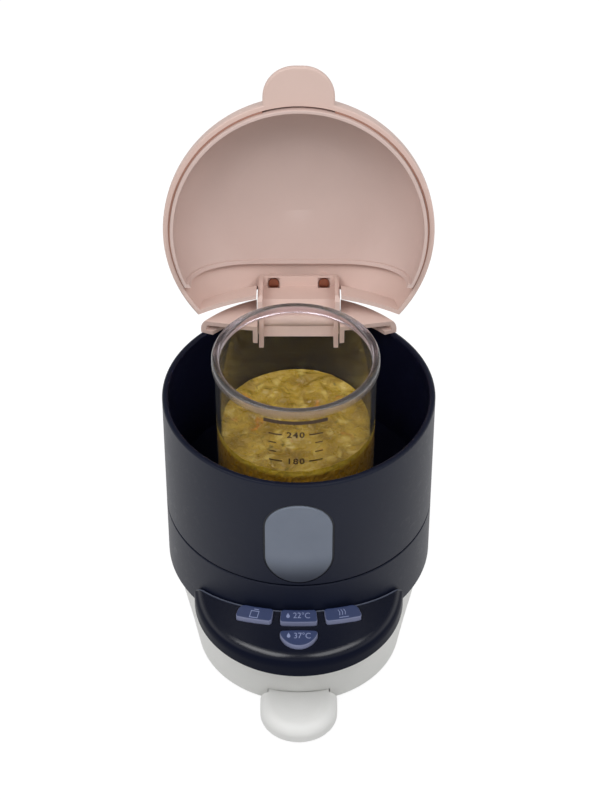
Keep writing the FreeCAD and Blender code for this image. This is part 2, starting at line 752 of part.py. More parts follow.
for angle in COLUMN_ANGLES:
    across, along = around("base_column_circle", angle)
    base_columns.append(cylinder(f"base_column_{angle}", "boss_radius", f"shell_bottom - {PLATE_TOP}",
                                 (across, along, PLATE_TOP)))
    base_pilots.append(cylinder(f"base_pilot_{angle}", "screw_radius", "screw_length",
                                (across, along, PLATE_TOP)))
roof_screw_holes = [cylinder(f"roof_screw_hole_{angle}", "screw_radius", "base_roof_thickness",
                             (*around(BASE_SCREW_CIRCLE, angle), BASE_ROOF_BOTTOM)) for angle in DIAGONALS]
base_hollow = cut("base_hollow", base_outer, base_inner, roof_hole, roof_pipe_hole, tray_mouth,
                  gland_hole, gland_spot)
base_solid = fuse("base_solid", base_hollow, *base_columns)
node("base_shell", cut("base_cut", base_solid, *base_pilots, *roof_screw_holes))
node("body_screws", group("body_screw_set", [
    screw_up(f"body_screw_{angle}", (*around(BASE_SCREW_CIRCLE, angle), BASE_ROOF_BOTTOM))
    for angle in DIAGONALS]))
gland_body = cylinder("gland_body", "gland_radius", "gland_length", gland_place, "Y")
gland_flange = cylinder("gland_flange", "gland_flange_radius", "gland_flange_thickness",
                        ("0", GLAND_SEAT, "gland_height"), "Y")
gland_bore = cylinder("gland_bore", "gland_bore", "3 * gland_length",
                      ("0", f"{GLAND_SEAT} - 2 * gland_length", "gland_height"), "Y")
node("cord_gland", cut("gland_cut", fuse("gland_solid", gland_body, gland_flange), gland_bore))

# Base plate: closes the foot from below, guides the tray and carries the power board
PLATE_INSET = "(base_wall + fit_gap)"
plate_outline = egg("plate_outline", "base_plate_height", f"base_low_radius - {PLATE_INSET}",
                    f"nose_low_radius - {PLATE_INSET}")
plate_slab = doc.addObject("Part::Extrusion", "plate_slab")
plate_slab.Base = plate_outline
plate_slab.DirMode = "Custom"
plate_slab.Dir = Vector(0, 0, 1)
plate_slab.Solid = True
bind(plate_slab, LengthFwd="base_plate_thickness")
RAIL_INNER = "(tray_half_width + tray_gap)"
RAIL_FRONT = "(-nose_offset - nose_low_radius + 4 * base_wall)"
rails = []
for word, low, high in (("left", f"-{RAIL_INNER} - rail_width", f"-{RAIL_INNER}"),
                        ("right", RAIL_INNER, f"{RAIL_INNER} + rail_width")):
    rails.append(box(f"tray_rail_{word}", (low, RAIL_FRONT, "base_plate_height"),
                     (high, "tray_back - 2 * tray_wall", f"{PLATE_TOP} + rail_height")))
POST_SIGNS = (("front_left", "-", "-"), ("front_right", "", "-"),
              ("back_left", "-", ""), ("back_right", "", ""))
posts = [cylinder(f"power_post_{word}", "power_post_radius", f"power_board_height - {PLATE_TOP}",
                  (f"{across}power_post_x", f"{along}power_post_y", PLATE_TOP))
         for word, across, along in POST_SIGNS]
post_pilots = [cylinder(f"post_pilot_{word}", "screw_radius", "boss_height",
                        (f"{across}power_post_x", f"{along}power_post_y", "power_board_height - boss_height"))
               for word, across, along in POST_SIGNS]
plate_screw_holes = [cylinder(f"plate_screw_hole_{angle}", "screw_radius", "base_plate_thickness",
                              (*around("base_column_circle", angle), "base_plate_height"))
                     for angle in COLUMN_ANGLES]
plate_solid = fuse("plate_solid", plate_slab, *rails, *posts)
plate_sinks = [cylinder(f"plate_sink_{angle}", "screw_head_radius + fit_gap", "screw_head_height",
                        (*around("base_column_circle", angle), "base_plate_height"))
               for angle in COLUMN_ANGLES]
node("base_plate", cut("plate_cut", plate_solid, *plate_screw_holes, *plate_sinks, *post_pilots))
node("base_plate_screws", group("base_plate_screw_set", [
    screw_up(f"base_plate_screw_{angle}",
             (*around("base_column_circle", angle), "base_plate_height + screw_head_height"))
    for angle in COLUMN_ANGLES]))
node("foot_ring", tube("foot_tube", "foot_outer", "foot_inner", "base_plate_height"))

# Drip tray: a shallow trough on the base plate with a rounded pull that sticks out in front
trough = box("trough", ("-tray_half_width", "-pull_start - pull_lap", TRAY_BOTTOM),
             ("tray_half_width", "tray_back", TRAY_TOP))
hollow = box(
    "trough_hollow",
    ("-tray_half_width + tray_wall", "-pull_start + 4 * tray_wall", f"{TRAY_BOTTOM} + tray_wall"),
    ("tray_half_width - tray_wall", "tray_back - tray_wall", f"{TRAY_TOP} + tray_wall"))
PULL_MIDDLE = "(-pull_front + pull_half_width)"
pull_bar = box("pull_bar", ("-pull_half_width", PULL_MIDDLE, "pull_underside"),
               ("pull_half_width", "-pull_start + pull_half_width", "pull_top"))
pull_end = cylinder("pull_end", "pull_half_width", "pull_top - pull_underside",
                    ("0", PULL_MIDDLE, "pull_underside"))
pull_room = box("pull_room", ("-2 * pull_half_width", "-pull_start", "-pull_front"),
                ("2 * pull_half_width", "pull_front", "pull_front"))
pull_cut = cut("pull_cut", fuse("pull_solid", pull_bar, pull_end), pull_room)


def is_pull_edge(edge):
    """Is the edge on the pull's top, and not the straight one at its back?"""
    return at_height("pull_top")(edge) and edge.BoundBox.YMin < value("-pull_start") - 1e-3


pull_form = rounded("pull_form", pull_cut, "pull_rounding", is_pull_edge)
pull_dish = doc.addObject("Part::Sphere", "pull_dish")
bind(pull_dish, Radius="pull_dish_radius")
move(pull_dish, "0", PULL_MIDDLE, "pull_top + pull_dish_radius - pull_dish_depth")
pull = cut("pull", pull_form, pull_dish)
node("drip_tray", fuse("tray_solid", cut("trough_cut", trough, hollow), pull))


def crown(name, grow):
    """The console's crowned top as a lying bar, sloping down to the front."""
    item = cylinder(name, f"console_crown + ({grow})", f"2 * {CONSOLE_REACH}")
    item.Placement = Placement(Vector(), Rotation(Vector(1, 0, 0), 90 + value("console_slope")))
    bind(item, **{"Placement.Rotation.Angle": "90 + console_slope"})
    move(item, "0",
         f"-body_radius + console_crown * sin(console_slope) + {CONSOLE_REACH} * cos(console_slope)",
         f"console_top - console_crown * cos(console_slope) + {CONSOLE_REACH} * sin(console_slope)")
    return item


def console_form(name, inset):
    """The console's rounded form before the body is taken out of it."""
    plan = cylinder(name + "_plan", f"console_radius - {inset}", f"console_top + {CONSOLE_REACH}",
                    ("0", "-console_offset", f"shell_bottom - {inset}"))
    form = common(name + "_form", plan, crown(name + "_crown", f"-{inset}"))
    bottom = f"shell_bottom - {inset}"

    def is_top_edge(edge):
        bounds = edge.BoundBox
        return bounds.ZLength > 1e-3 and not is_upright(edge) and bounds.ZMin > value(bottom) + 1e-3
    return rounded(name, form, f"console_edge - {inset}", is_top_edge)


BUTTON_PLACES = (("left", "-button_pitch_angle"), ("upper", "0"), ("right", "button_pitch_angle"))
PRISM_BOTTOM = CONTROL_BOARD_TOP
PRISM_HEIGHT = f"(console_top + console_radius - {PRISM_BOTTOM})"


def sector(name, turn, grow):
    """An upright prism over one of the three curved buttons."""
    middle = "((button_inner + button_outer) / 2)"
    spread = f"({grow}) / {middle} * 180 / pi"
    outer = cylinder(name + "_outer", f"button_outer + {grow}", PRISM_HEIGHT)
    bind(outer, Angle=f"2 * (button_half_angle + {spread})")
    outer.Placement = Placement(Vector(), Rotation(Vector(0, 0, 1), 1))
    bind(outer, **{"Placement.Rotation.Angle": f"270 + {turn} - button_half_angle - {spread}"})
    move(outer, z=PRISM_BOTTOM)
    inner = cylinder(name + "_inner", f"button_inner - ({grow})", PRISM_HEIGHT, ("0", "0", PRISM_BOTTOM))
    band = cut(name + "_band", outer, inner)

    def corner(edge):
        """The radius of an upright corner, which is larger on the inner one at the row's own end."""
        if not is_upright(edge):
            return None
        place = edge.Vertexes[0].Point
        inner = Vector(place.x, place.y, 0).Length < value(middle)
        end = place.x * value(turn) > 0 and abs(place.x) > abs(value(f"{middle} * sin({turn})"))
        return f"button_end_corner + {grow}" if inner and end else f"button_corner + {grow}"

    return rounded(name, band, None, corner)


def moon(name, grow):
    """An upright prism over the half-moon button."""
    disc = cylinder(name + "_disc", f"moon_radius + {grow}", PRISM_HEIGHT,
                    ("0", "-moon_offset - moon_depth + moon_radius", PRISM_BOTTOM))
    half = box(name + "_half", ("-2 * moon_radius", "-moon_offset - 2 * moon_radius", PRISM_BOTTOM),
               ("2 * moon_radius", f"-moon_offset + {grow}", f"{PRISM_BOTTOM} + {PRISM_HEIGHT}"))
    return rounded(name, common(name + "_cut", disc, half), f"button_corner + {grow}", is_upright)


# Console cover: a crowned glossy shell against the body's front, open to the buttons
cover_outer = console_form("cover_outer", "0")
cover_inner = console_form("cover_inner", "console_wall")
body_room = cylinder("body_room", "body_radius + fit_gap", "rim_height")
openings = [sector(f"opening_{word}", turn, "button_gap") for word, turn in BUTTON_PLACES]
openings.append(moon("opening_lower", "button_gap"))
cover_cut = cut("cover_cut", cover_outer, cover_inner, body_room, *openings)


def is_console_lip(edge):
    """Is the edge the long top one that follows the round body?"""
    on_body = all(abs(vertex.Point.x ** 2 + vertex.Point.y ** 2 - value("body_radius + fit_gap") ** 2) < 1e-2
                  for vertex in edge.Vertexes)
    return on_body and edge.BoundBox.XLength > value("console_radius") and edge.BoundBox.ZMax > LIP_HEIGHT


LIP_HEIGHT = value("console_top - console_wall / 2")
node("console_cover", rounded("cover_round", cover_cut, "console_lip_rounding", is_console_lip))

# Console floor: the half-moon plate that closes the console from below and carries its board
FLOOR_EDGE = "(console_radius - console_wall - fit_gap)"
floor_disc = cylinder("floor_disc", FLOOR_EDGE, "console_floor_thickness",
                      ("0", "-console_offset", "shell_bottom"))
floor_posts = [cylinder(f"floor_post_{word}", "control_post_radius", f"{CONTROL_BOARD_BOTTOM} - shell_bottom",
                        (across, along, "shell_bottom"))
               for word, across, along in (
                   ("left", "-console_radius / 2", "-console_offset - console_radius / 2"),
                   ("right", "console_radius / 2", "-console_offset - console_radius / 2"))]
floor_room = cylinder("floor_room", "body_radius + fit_gap", "rim_height")
node("console_floor", cut("floor_cut", fuse("floor_solid", floor_disc, *floor_posts), floor_room))
board_disc = cylinder("board_disc", f"{FLOOR_EDGE} - control_board_inset", "board_thickness",
                      ("0", "-console_offset", CONTROL_BOARD_BOTTOM))
board_room = cylinder("board_room", "body_radius + 2 * fit_gap", "rim_height")
node("control_board", cut("control_board_cut", board_disc, board_room))

# Switches on the control board, one under each button
MIDDLE_RING = "((button_inner + button_outer) / 2)"
SWITCH_PLACES = {word: (f"{MIDDLE_RING} * sin({turn})", f"-{MIDDLE_RING} * cos({turn})")
                 for word, turn in BUTTON_PLACES}
SWITCH_PLACES["lower"] = ("0", "-moon_offset - moon_depth / 2")
switches = []
for word, (across, along) in SWITCH_PLACES.items():
    half = "switch_width / 2"
    case = box(f"switch_case_{word}", (f"{across} - {half}", f"{along} - {half}", CONTROL_BOARD_TOP),
               (f"{across} + {half}", f"{along} + {half}", f"{CONTROL_BOARD_TOP} + switch_height"))
    plunger = cylinder(f"plunger_{word}", "plunger_radius", f"{SWITCH_TOP} - {CONTROL_BOARD_TOP}",
                       (across, along, CONTROL_BOARD_TOP))
    switches.append(fuse(f"switch_{word}", case, plunger))
node("touch_switches", group("switch_set", switches))

# Buttons: a cap that stands proud of the cover, a flange that keeps it in, and a stem over its switch
UNDER_COVER = "-console_wall - fit_gap"


def is_cap_edge(edge):
    """Is the edge one round a cap's top?"""
    return not is_upright(edge) and edge.BoundBox.ZMin > value(PRISM_BOTTOM) + 1e-3


STEM_BOTTOM = f"({SWITCH_TOP} + button_travel + fit_gap)"
for word, (across, along) in SWITCH_PLACES.items():
    turn = dict(BUTTON_PLACES).get(word)

    def prism(name, grow):
        return sector(name, turn, grow) if turn else moon(name, grow)
    under = f"{UNDER_COVER} - button_flange_thickness"
    cap = common(f"cap_{word}", prism(f"cap_prism_{word}", "0"), crown(f"cap_top_{word}", "button_proud"))
    cap = rounded(f"cap_round_{word}", cap, "button_rounding", is_cap_edge)
    cap = cut(f"cap_cut_{word}", cap, crown(f"cap_under_{word}", under))
    flange = common(f"flange_{word}", prism(f"flange_prism_{word}", "button_flange_reach + button_gap"),
                    crown(f"flange_top_{word}", UNDER_COVER))
    flange = cut(f"flange_cut_{word}", flange, crown(f"flange_under_{word}", under))
    stem = cylinder(f"stem_bar_{word}", "button_stem_radius", "console_top - shell_bottom",
                    (across, along, STEM_BOTTOM))
    stem = common(f"stem_{word}", stem, crown(f"stem_top_{word}", UNDER_COVER))
    node(f"button_{word}", fuse(f"button_solid_{word}", cap, flange, stem))

# Power board on its posts, what it carries, and the leads to the heater
power_slab = box("power_slab", ("-power_board_half_width", "-power_board_half_depth", "power_board_height"),
                 ("power_board_half_width", "power_board_half_depth + screw_length", POWER_BOARD_TOP))
power_holes = [cylinder(f"power_hole_{word}", "screw_radius", "board_thickness",
                        (f"{across}power_post_x", f"{along}power_post_y", "power_board_height"))
               for word, across, along in POST_SIGNS]
node("power_board", cut("power_board_cut", power_slab, *power_holes))
BLOCK_TOP = f"({POWER_BOARD_TOP} + terminal_block_height)"
terminal_block = box("terminal_block",
                     ("-heater_pin_spread - 3 * heater_pin_radius", f"{HEATER_PIN_Y} - 2 * heater_pin_radius",
                      POWER_BOARD_TOP),
                     ("heater_pin_spread + 3 * heater_pin_radius", f"{HEATER_PIN_Y} + 2 * heater_pin_radius",
                      BLOCK_TOP))
relay = box("relay", ("-power_board_half_width / 2", "-terminal_block_height", POWER_BOARD_TOP),
            ("0", "terminal_block_height", f"{BLOCK_TOP} + terminal_block_height / 2"))
transformer = box("transformer", ("power_board_half_width / 4", "-terminal_block_height", POWER_BOARD_TOP),
                  ("power_board_half_width - terminal_block_height / 2", "terminal_block_height",
                   f"{BLOCK_TOP} + terminal_block_height"))
node("power_components", group("power_component_set", [terminal_block, relay, transformer]))
node("board_screws", group("board_screw_set", [
    screw_down(f"board_screw_{word}", (f"{across}power_post_x", f"{along}power_post_y", POWER_BOARD_TOP),
               "boss_height")
    for word, across, along in POST_SIGNS]))
node("heater_leads", group("heater_lead_set", [
    cylinder(f"lead_{word}", "lead_radius", f"{HEATER_PIN_BOTTOM} - {BLOCK_TOP}",
             (f"{sign}heater_pin_spread", HEATER_PIN_Y, BLOCK_TOP))
    for word, sign in (("left", "-"), ("right", ""))]))
RIBBON_Y = "(-power_board_half_depth + ribbon_half_width)"
ribbon_rise = box("ribbon_rise", ("-ribbon_half_width", RIBBON_Y, POWER_BOARD_TOP),
                  ("ribbon_half_width", f"{RIBBON_Y} + ribbon_thickness",
                   f"{CONTROL_BOARD_TOP} + ribbon_thickness"))
ribbon_run = box("ribbon_run",
                 ("-ribbon_half_width", f"-{SLEEVE_SCREW_CIRCLE} - shelf_width", CONTROL_BOARD_TOP),
                 ("ribbon_half_width", RIBBON_Y, f"{CONTROL_BOARD_TOP} + ribbon_thickness"))
node("console_ribbon", fuse("ribbon_solid", ribbon_rise, ribbon_run))


def rear_room(name, grow, bottom, top):
    """What lies behind the lid's rear wall: upright at first, then leaning back to the roof."""
    radius = f"lid_rear_radius + ({grow})"
    step = "(rim_height + lid_rear_step)"
    lean_top = "(rim_height + lid_height)"
    low = cylinder(name + "_low", radius, f"{step} - {bottom}", ("0", REAR_CENTRE, bottom))
    lean = doc.addObject("Part::Cone", name + "_lean")
    bind(lean, Radius1=radius, Radius2=f"{radius} - lid_rear_slant", Height=f"{lean_top} - {step}")
    move(lean, "0", REAR_CENTRE, step)
    high = cylinder(name + "_high", f"{radius} - lid_rear_slant", f"{top} - {lean_top}",
                    ("0", REAR_CENTRE, lean_top))
    return fuse(name, low, lean, high)


def dome(name, inset, bottom, rim_rounding=None):
    """A round lid form with a big radius between its side and its nearly flat top."""
    radius = f"body_radius - {inset}"
    shoulder = f"rim_height + lid_height - lid_crown - {inset}"
    form = turned(name, [("0", bottom), (radius, bottom), (radius, shoulder),
                         ("0", f"rim_height + lid_height - {inset}")])
    soften(form, f"lid_corner - {inset}", at_height(shoulder))
    return form if rim_rounding is None else soften(form, rim_rounding, at_height(bottom))


# Lid shell: the outer dome with its lifting tab, its rear wall, and a notch and bosses for the hinge arm
SHELL_TOP_CUT = "(rim_height + 2 * lid_height)"
PAD_BOTTOM = "(rim_height + arm_pad_rise)"
PAD_TOP = f"({PAD_BOTTOM} + arm_wall)"
BOSS_TOP = "(rim_height + lid_height - lid_wall)"
ARM_SCREW_Y = "(lid_rear_edge + arm_screw_inset)"
SIDES = (("left", "-"), ("right", ""))
shell_form = cut("lid_outer_cut", dome("lid_outer", "0", LID_EDGE, "lid_rim_rounding"),
                 rear_room("lid_outer_rear", "0", "(rim_height - lid_height)", SHELL_TOP_CUT))
shell_hollow = cut("lid_hollow_cut", dome("lid_hollow", "lid_wall", "(rim_height - lid_wall)"),
                   rear_room("lid_hollow_rear", "lid_rear_wall", "(rim_height - lid_height)", SHELL_TOP_CUT))
tab_bar = box("tab_bar", ("-tab_half_width", "-tab_end", LID_EDGE),
              ("tab_half_width", "-body_radius + 2 * tab_thickness", f"{LID_EDGE} + tab_thickness"))


def is_tab_corner(edge):
    """Is the edge an upright one at the tab's free end?"""
    return is_upright(edge) and edge.BoundBox.YMax < value("-body_radius")


def is_tab_rim(edge):
    """Is the edge on the tab's upper or lower face, and not at its root?"""
    return edge.BoundBox.ZLength < 1e-4 and edge.BoundBox.YMin < value("-body_radius")


tab_plan = rounded("tab_plan", tab_bar, "tab_corner", is_tab_corner)
tab = rounded("tab_round", tab_plan, "tab_rounding", is_tab_rim)
arm_notch = box("arm_notch",
                (f"-{COLLAR_SLOT}", "lid_rear_edge - 2 * lid_rear_wall", "rim_height - lid_height"),
                (COLLAR_SLOT, "body_radius", PAD_TOP))
lid_bosses = [cylinder(f"lid_boss_{word}", "boss_radius", f"{BOSS_TOP} + lid_wall / 2 - {PAD_TOP}",
                       (f"{sign}arm_screw_spread", ARM_SCREW_Y, PAD_TOP))
              for word, sign in SIDES]
lid_pilots = [cylinder(f"lid_pilot_{word}", "screw_radius", f"{BOSS_TOP} - {PAD_TOP}",
                       (f"{sign}arm_screw_spread", ARM_SCREW_Y, PAD_TOP))
              for word, sign in SIDES]
tab_trim = cut("tab_trim", tab, cylinder("tab_trim_room", "body_radius - lid_wall", "rim_height",
                                         ("0", "0", LID_EDGE)))
lid_open_shell = cut("lid_open_shell", shell_form, shell_hollow, arm_notch)
lid_body = fuse("lid_body", lid_open_shell, tab_trim, *lid_bosses)
node("lid_shell", turned_open(cut("lid_shell_cut", lid_body, *lid_pilots)))

# Lid liner: the inner pan with a rim that plugs into the sleeve, cut straight across in front of the hinge
LINER_BOTTOM = "(rim_height - liner_plug)"
liner_rear_room = box("liner_rear_room", ("-body_radius", "liner_rear", f"{LINER_BOTTOM} - lid_height"),
                      ("body_radius", "2 * body_radius", SHELL_TOP_CUT))
liner_outer = dome("liner_outer", LINER_INSET, LINER_BOTTOM, "liner_rim_rounding")
liner_hollow = dome("liner_hollow", f"({LINER_INSET} + liner_wall)", f"({LINER_BOTTOM} - lid_wall)")
LIP_FRONT = "(liner_rear - liner_lip_width)"
pan_room = box("pan_room", ("-body_radius", "-body_radius", f"{LINER_BOTTOM} - lid_height"),
               ("body_radius", LIP_FRONT, SHELL_TOP_CUT))
pan_hollow = common("pan_hollow", liner_hollow, pan_room)
lip_hollow = dome("lip_hollow", f"({LINER_INSET} + liner_wall + liner_lip)",
                  f"({LINER_BOTTOM} - 2 * lid_wall)")
node("lid_liner", turned_open(cut("liner_pan", liner_outer, pan_hollow, lip_hollow, liner_rear_room)))

# Lid seal: a soft strip in the groove between shell and liner, broken at the tab
seal_tube = tube("lid_seal_tube", "body_radius - lid_wall - seal_gap",
                 f"body_radius - {LINER_INSET} + seal_gap", "seal_depth", ("0", "0", LID_EDGE))
tab_gap = box("tab_gap", ("-tab_half_width", "-body_radius", "rim_height"),
              ("tab_half_width", "0", SHELL_TOP_CUT))
seal_rear = box("seal_rear", ("-body_radius", "liner_rear", "rim_height"),
                ("body_radius", "body_radius", SHELL_TOP_CUT))
node("lid_seal", turned_open(cut("lid_seal_cut", seal_tube, tab_gap, seal_rear)))

# Hinge arm: a goose-neck channel from the lid's roof to the hinge pin, with a tail that stops the lid
ARM_FRONT = "(lid_rear_edge + arm_front_gap)"
ARM_BACK = "(lid_rear_edge + arm_depth)"
TAIL_END = "(pivot_offset + tail_reach)"
arm_block = side_cut("arm_block", [
    (ARM_FRONT, PAD_TOP),
    (ARM_FRONT, "rim_height + arm_toe"),
    ("lid_rear_edge + arm_toe", "rim_height + fit_gap"),
    (TAIL_END, "rim_height + tail_rise"),
    (TAIL_END, f"{PIVOT_HEIGHT} + tail_rise"),
    ("pivot_offset + neck_shoulder", f"{PIVOT_HEIGHT} + neck_shoulder"),
    ("pivot_offset - neck_setback", f"{PIVOT_HEIGHT} + neck_rise"),
    (ARM_BACK, PAD_BOTTOM),
    (ARM_BACK, PAD_TOP),
], "arm_half_width")


def is_arm_corner(edge):
    """Is the edge one of the two upright ones in front?"""
    return is_upright(edge) and abs(edge.BoundBox.YMin - value(ARM_FRONT)) < 1e-3


soften(arm_block, "arm_corner", is_arm_corner)
arm_channel = side_cut("arm_channel", [
    ("lid_rear_edge - arm_wall", PAD_BOTTOM),
    ("lid_rear_edge - arm_wall", "rim_height - arm_wall"),
    (f"{TAIL_END} + arm_wall", "rim_height - arm_wall"),
    (f"{TAIL_END} + arm_wall", f"{PIVOT_HEIGHT} - pin_radius - channel_drop"),
    (f"{ARM_BACK} + arm_front_gap", f"{PIVOT_HEIGHT} - pin_radius / 2"),
    (f"{ARM_BACK} - arm_wall", f"{PIVOT_HEIGHT} + channel_rise"),
    (f"{ARM_BACK} - arm_wall", PAD_BOTTOM),
], ARM_INNER)
arm_gap = box("arm_gap", (f"-{ARM_INNER}", "pivot_offset + tail_web", "rim_height - arm_wall"),
              (ARM_INNER, f"{TAIL_END} + arm_wall", f"{PIVOT_HEIGHT} + neck_rise"))
knuckle = cylinder("knuckle", "pin_radius + knuckle_wall", f"2 * {ARM_INNER}",
                   (f"-{ARM_INNER}", "pivot_offset", PIVOT_HEIGHT), "X")
arm_bore = cylinder("arm_bore", "pin_radius + pin_clearance", "4 * arm_half_width",
                    ("-2 * arm_half_width", "pivot_offset", PIVOT_HEIGHT), "X")
arm_screw_holes = [cylinder(f"arm_screw_hole_{word}", "screw_radius", "3 * arm_wall",
                            (f"{sign}arm_screw_spread", ARM_SCREW_Y, f"{PAD_BOTTOM} - arm_wall"))
                   for word, sign in SIDES]
POCKET_HALF = "(screw_head_radius + fit_gap)"
ARM_SCREW_SEAT = f"({PAD_BOTTOM} + arm_wall / 2)"
arm_pockets = [box(f"arm_pocket_{word}",
                   (f"{sign}arm_screw_spread - {POCKET_HALF}", f"{ARM_SCREW_Y} - {POCKET_HALF}",
                    f"{PAD_BOTTOM} - arm_wall"),
                   (f"{sign}arm_screw_spread + {POCKET_HALF}", f"{ARM_SCREW_Y} + {POCKET_HALF}",
                    ARM_SCREW_SEAT))
               for word, sign in SIDES]
arm_form = fuse("arm_form", cut("arm_hollow", arm_block, arm_channel, arm_gap), knuckle)
arm_cut = cut("arm_cut", arm_form, arm_bore, *arm_screw_holes, *arm_pockets)
node("hinge_arm", turned_open(arm_cut))
node("arm_screws", turned_open(group("arm_screw_set", [
    screw_up(f"arm_screw_{word}", (f"{sign}arm_screw_spread", ARM_SCREW_Y, ARM_SCREW_SEAT),
             f"{BOSS_TOP} - {ARM_SCREW_SEAT}")
    for word, sign in SIDES])))

# Hinge collar: two hollow ears on the sleeve's rear rim with a slot between them for the arm
COLLAR_TOP = "(rim_height + collar_rise)"
COLLAR_BOTTOM = "(rim_height - collar_drop)"
COLLAR_SPIGOT = "(chamber_radius - fit_gap)"
COLLAR_SEAT_TOP = "(rim_height + collar_seat)"
COLLAR_ARC = "(lid_rear_radius - collar_arc_gap)"


def collar_form(name, inset, front_grow):
    """A crescent cap over the rear rim: round outer edge, low tips, and the lid's arc in front."""
    top = f"{COLLAR_TOP} - {inset}"
    disc = turned(name + "_disc", [("0", "rim_height"), (f"body_radius - {inset}", "rim_height"),
                                   (f"body_radius - {inset}", top), ("0", top)])
    disc = soften(disc, f"collar_rounding - {inset}", at_height(top))
    arc = cylinder(name + "_arc", f"{COLLAR_ARC} + {front_grow}", "collar_rise",
                   ("0", REAR_CENTRE, "rim_height"))
    ridge = cylinder(name + "_ridge", f"collar_crown - {inset}", "2 * body_radius",
                     ("0", "0", f"{COLLAR_TOP} - collar_crown"), "Y")
    return common(name, disc, arc, ridge)


def collar_band(name, outer, bottom, top):
    """A band along the sleeve's inner wall, as long as the crescent."""
    height = f"({top}) - ({bottom})"
    band = tube(name + "_tube", outer, f"{COLLAR_SPIGOT} - collar_wall", height, ("0", "0", bottom))
    arc = cylinder(name + "_arc", COLLAR_ARC, height, ("0", REAR_CENTRE, bottom))
    return common(name, band, arc)


collar_roof = cut("collar_roof", collar_form("collar_outer", "0", "0"),
                  collar_form("collar_inner", "collar_wall", "collar_arc_gap"))
collar_seat = common("collar_seat", collar_form("collar_seat_form", "0", "0"),
                     collar_band("collar_seat_band", "body_radius", "rim_height", COLLAR_SEAT_TOP))
SKIRT_HALF = f"({COLLAR_SLOT} + collar_wall)"
skirt_span = box("skirt_span", (f"-{SKIRT_HALF}", "0", COLLAR_BOTTOM),
                 (SKIRT_HALF, "body_radius", COLLAR_SEAT_TOP))
collar_skirt = common("collar_skirt", skirt_span,
                      collar_band("skirt_band", COLLAR_SPIGOT, COLLAR_BOTTOM, COLLAR_SEAT_TOP))
ear_webs = [common(f"ear_web_{word}", collar_form(f"ear_form_{word}", "0", "0"),
                   box(f"ear_slab_{word}", (low, "0", "rim_height"), (high, "body_radius", COLLAR_TOP)))
            for word, low, high in (("left", f"-{COLLAR_SLOT} - collar_wall", f"-{COLLAR_SLOT}"),
                                    ("right", COLLAR_SLOT, f"{COLLAR_SLOT} + collar_wall"))]
collar_slot = box("collar_slot", (f"-{COLLAR_SLOT}", "0", "rim_height - collar_bridge"),
                  (COLLAR_SLOT, "2 * body_radius", f"{COLLAR_TOP} + collar_wall"))
pin_bosses = [cylinder(f"pin_boss_{word}", "2 * pin_radius", f"pin_half_length - {COLLAR_SLOT}",
                       (start, "pivot_offset", PIVOT_HEIGHT), "X")
              for word, start in (("left", "-pin_half_length"), ("right", COLLAR_SLOT))]
collar_pin_hole = cylinder("collar_pin_hole", "pin_radius", "2 * pin_half_length",
                           ("-pin_half_length", "pivot_offset", PIVOT_HEIGHT), "X")
collar_solid = fuse("collar_solid", collar_roof, collar_seat, collar_skirt, *ear_webs)
collar_ears = cut("collar_ears", collar_solid, collar_slot)
node("hinge_collar", cut("collar_cut", fuse("collar_body", collar_ears, *pin_bosses), collar_pin_hole))
node("hinge_pin", cylinder("pin_bar", "pin_radius", "2 * pin_half_length",
                           ("-pin_half_length", "pivot_offset", PIVOT_HEIGHT), "X"))

# Jar: a straight glass beaker with a beaded rim, and the food in it
jar_turn = turned("jar_turn", [
    ("0", JAR_BOTTOM),
    ("jar_low_radius", JAR_BOTTOM),
    ("jar_high_radius", f"{JAR_TOP} - jar_bead_height"),
    ("jar_high_radius + jar_bead", f"{JAR_TOP} - jar_bead_height"),
    ("jar_high_radius + jar_bead", JAR_TOP),
    ("jar_high_radius - jar_wall", JAR_TOP),
    ("jar_low_radius - jar_wall", f"{JAR_BOTTOM} + jar_floor"),
    ("0", f"{JAR_BOTTOM} + jar_floor"),
])
soften(jar_turn, "jar_heel", at_height(JAR_BOTTOM))
soften(jar_turn, "jar_heel - jar_wall", at_height(f"{JAR_BOTTOM} + jar_floor"))
soften(jar_turn, "jar_rim_rounding", at_height(JAR_TOP))
soften(jar_turn, "jar_bead_rounding", at_height(f"{JAR_TOP} - jar_bead_height"))
move(jar_turn, "-jar_shift", "-jar_offset")
node("jar", jar_turn)
food_turn = turned("food_turn", [
    ("0", f"{JAR_BOTTOM} + jar_floor"),
    ("jar_low_radius - jar_wall - food_gap", f"{JAR_BOTTOM} + jar_floor"),
    ("jar_low_radius - jar_wall - food_gap", f"{JAR_BOTTOM} + jar_floor + food_depth"),
    ("0", f"{JAR_BOTTOM} + jar_floor + food_depth"),
])
soften(food_turn, "jar_heel - jar_wall", at_height(f"{JAR_BOTTOM} + jar_floor"))
move(food_turn, "-jar_shift", "-jar_offset")
node("food", food_turn)

doc.recompute()
failed = [item.Name for item in doc.Objects if {"Invalid", "Error"} & set(item.State)]
failed += [name for name, item in parts.items()
           if item.Shape.isNull() or not item.Shape.isValid() or not item.Shape.Solids]
if failed:
    raise RuntimeError(f"these pieces did not build: {sorted(set(failed))}")
os.makedirs("parts", exist_ok=True)
for name, item in parts.items():
    item.Shape.exportStep(f"parts/{name}.step")
    print(f"{name}: {len(item.Shape.Solids)} solid(s), {item.Shape.Volume:.0f} cubic mm")
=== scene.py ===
"""Baby bottle and food warmer: finishes, puree, printed marks and studio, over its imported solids."""
import math

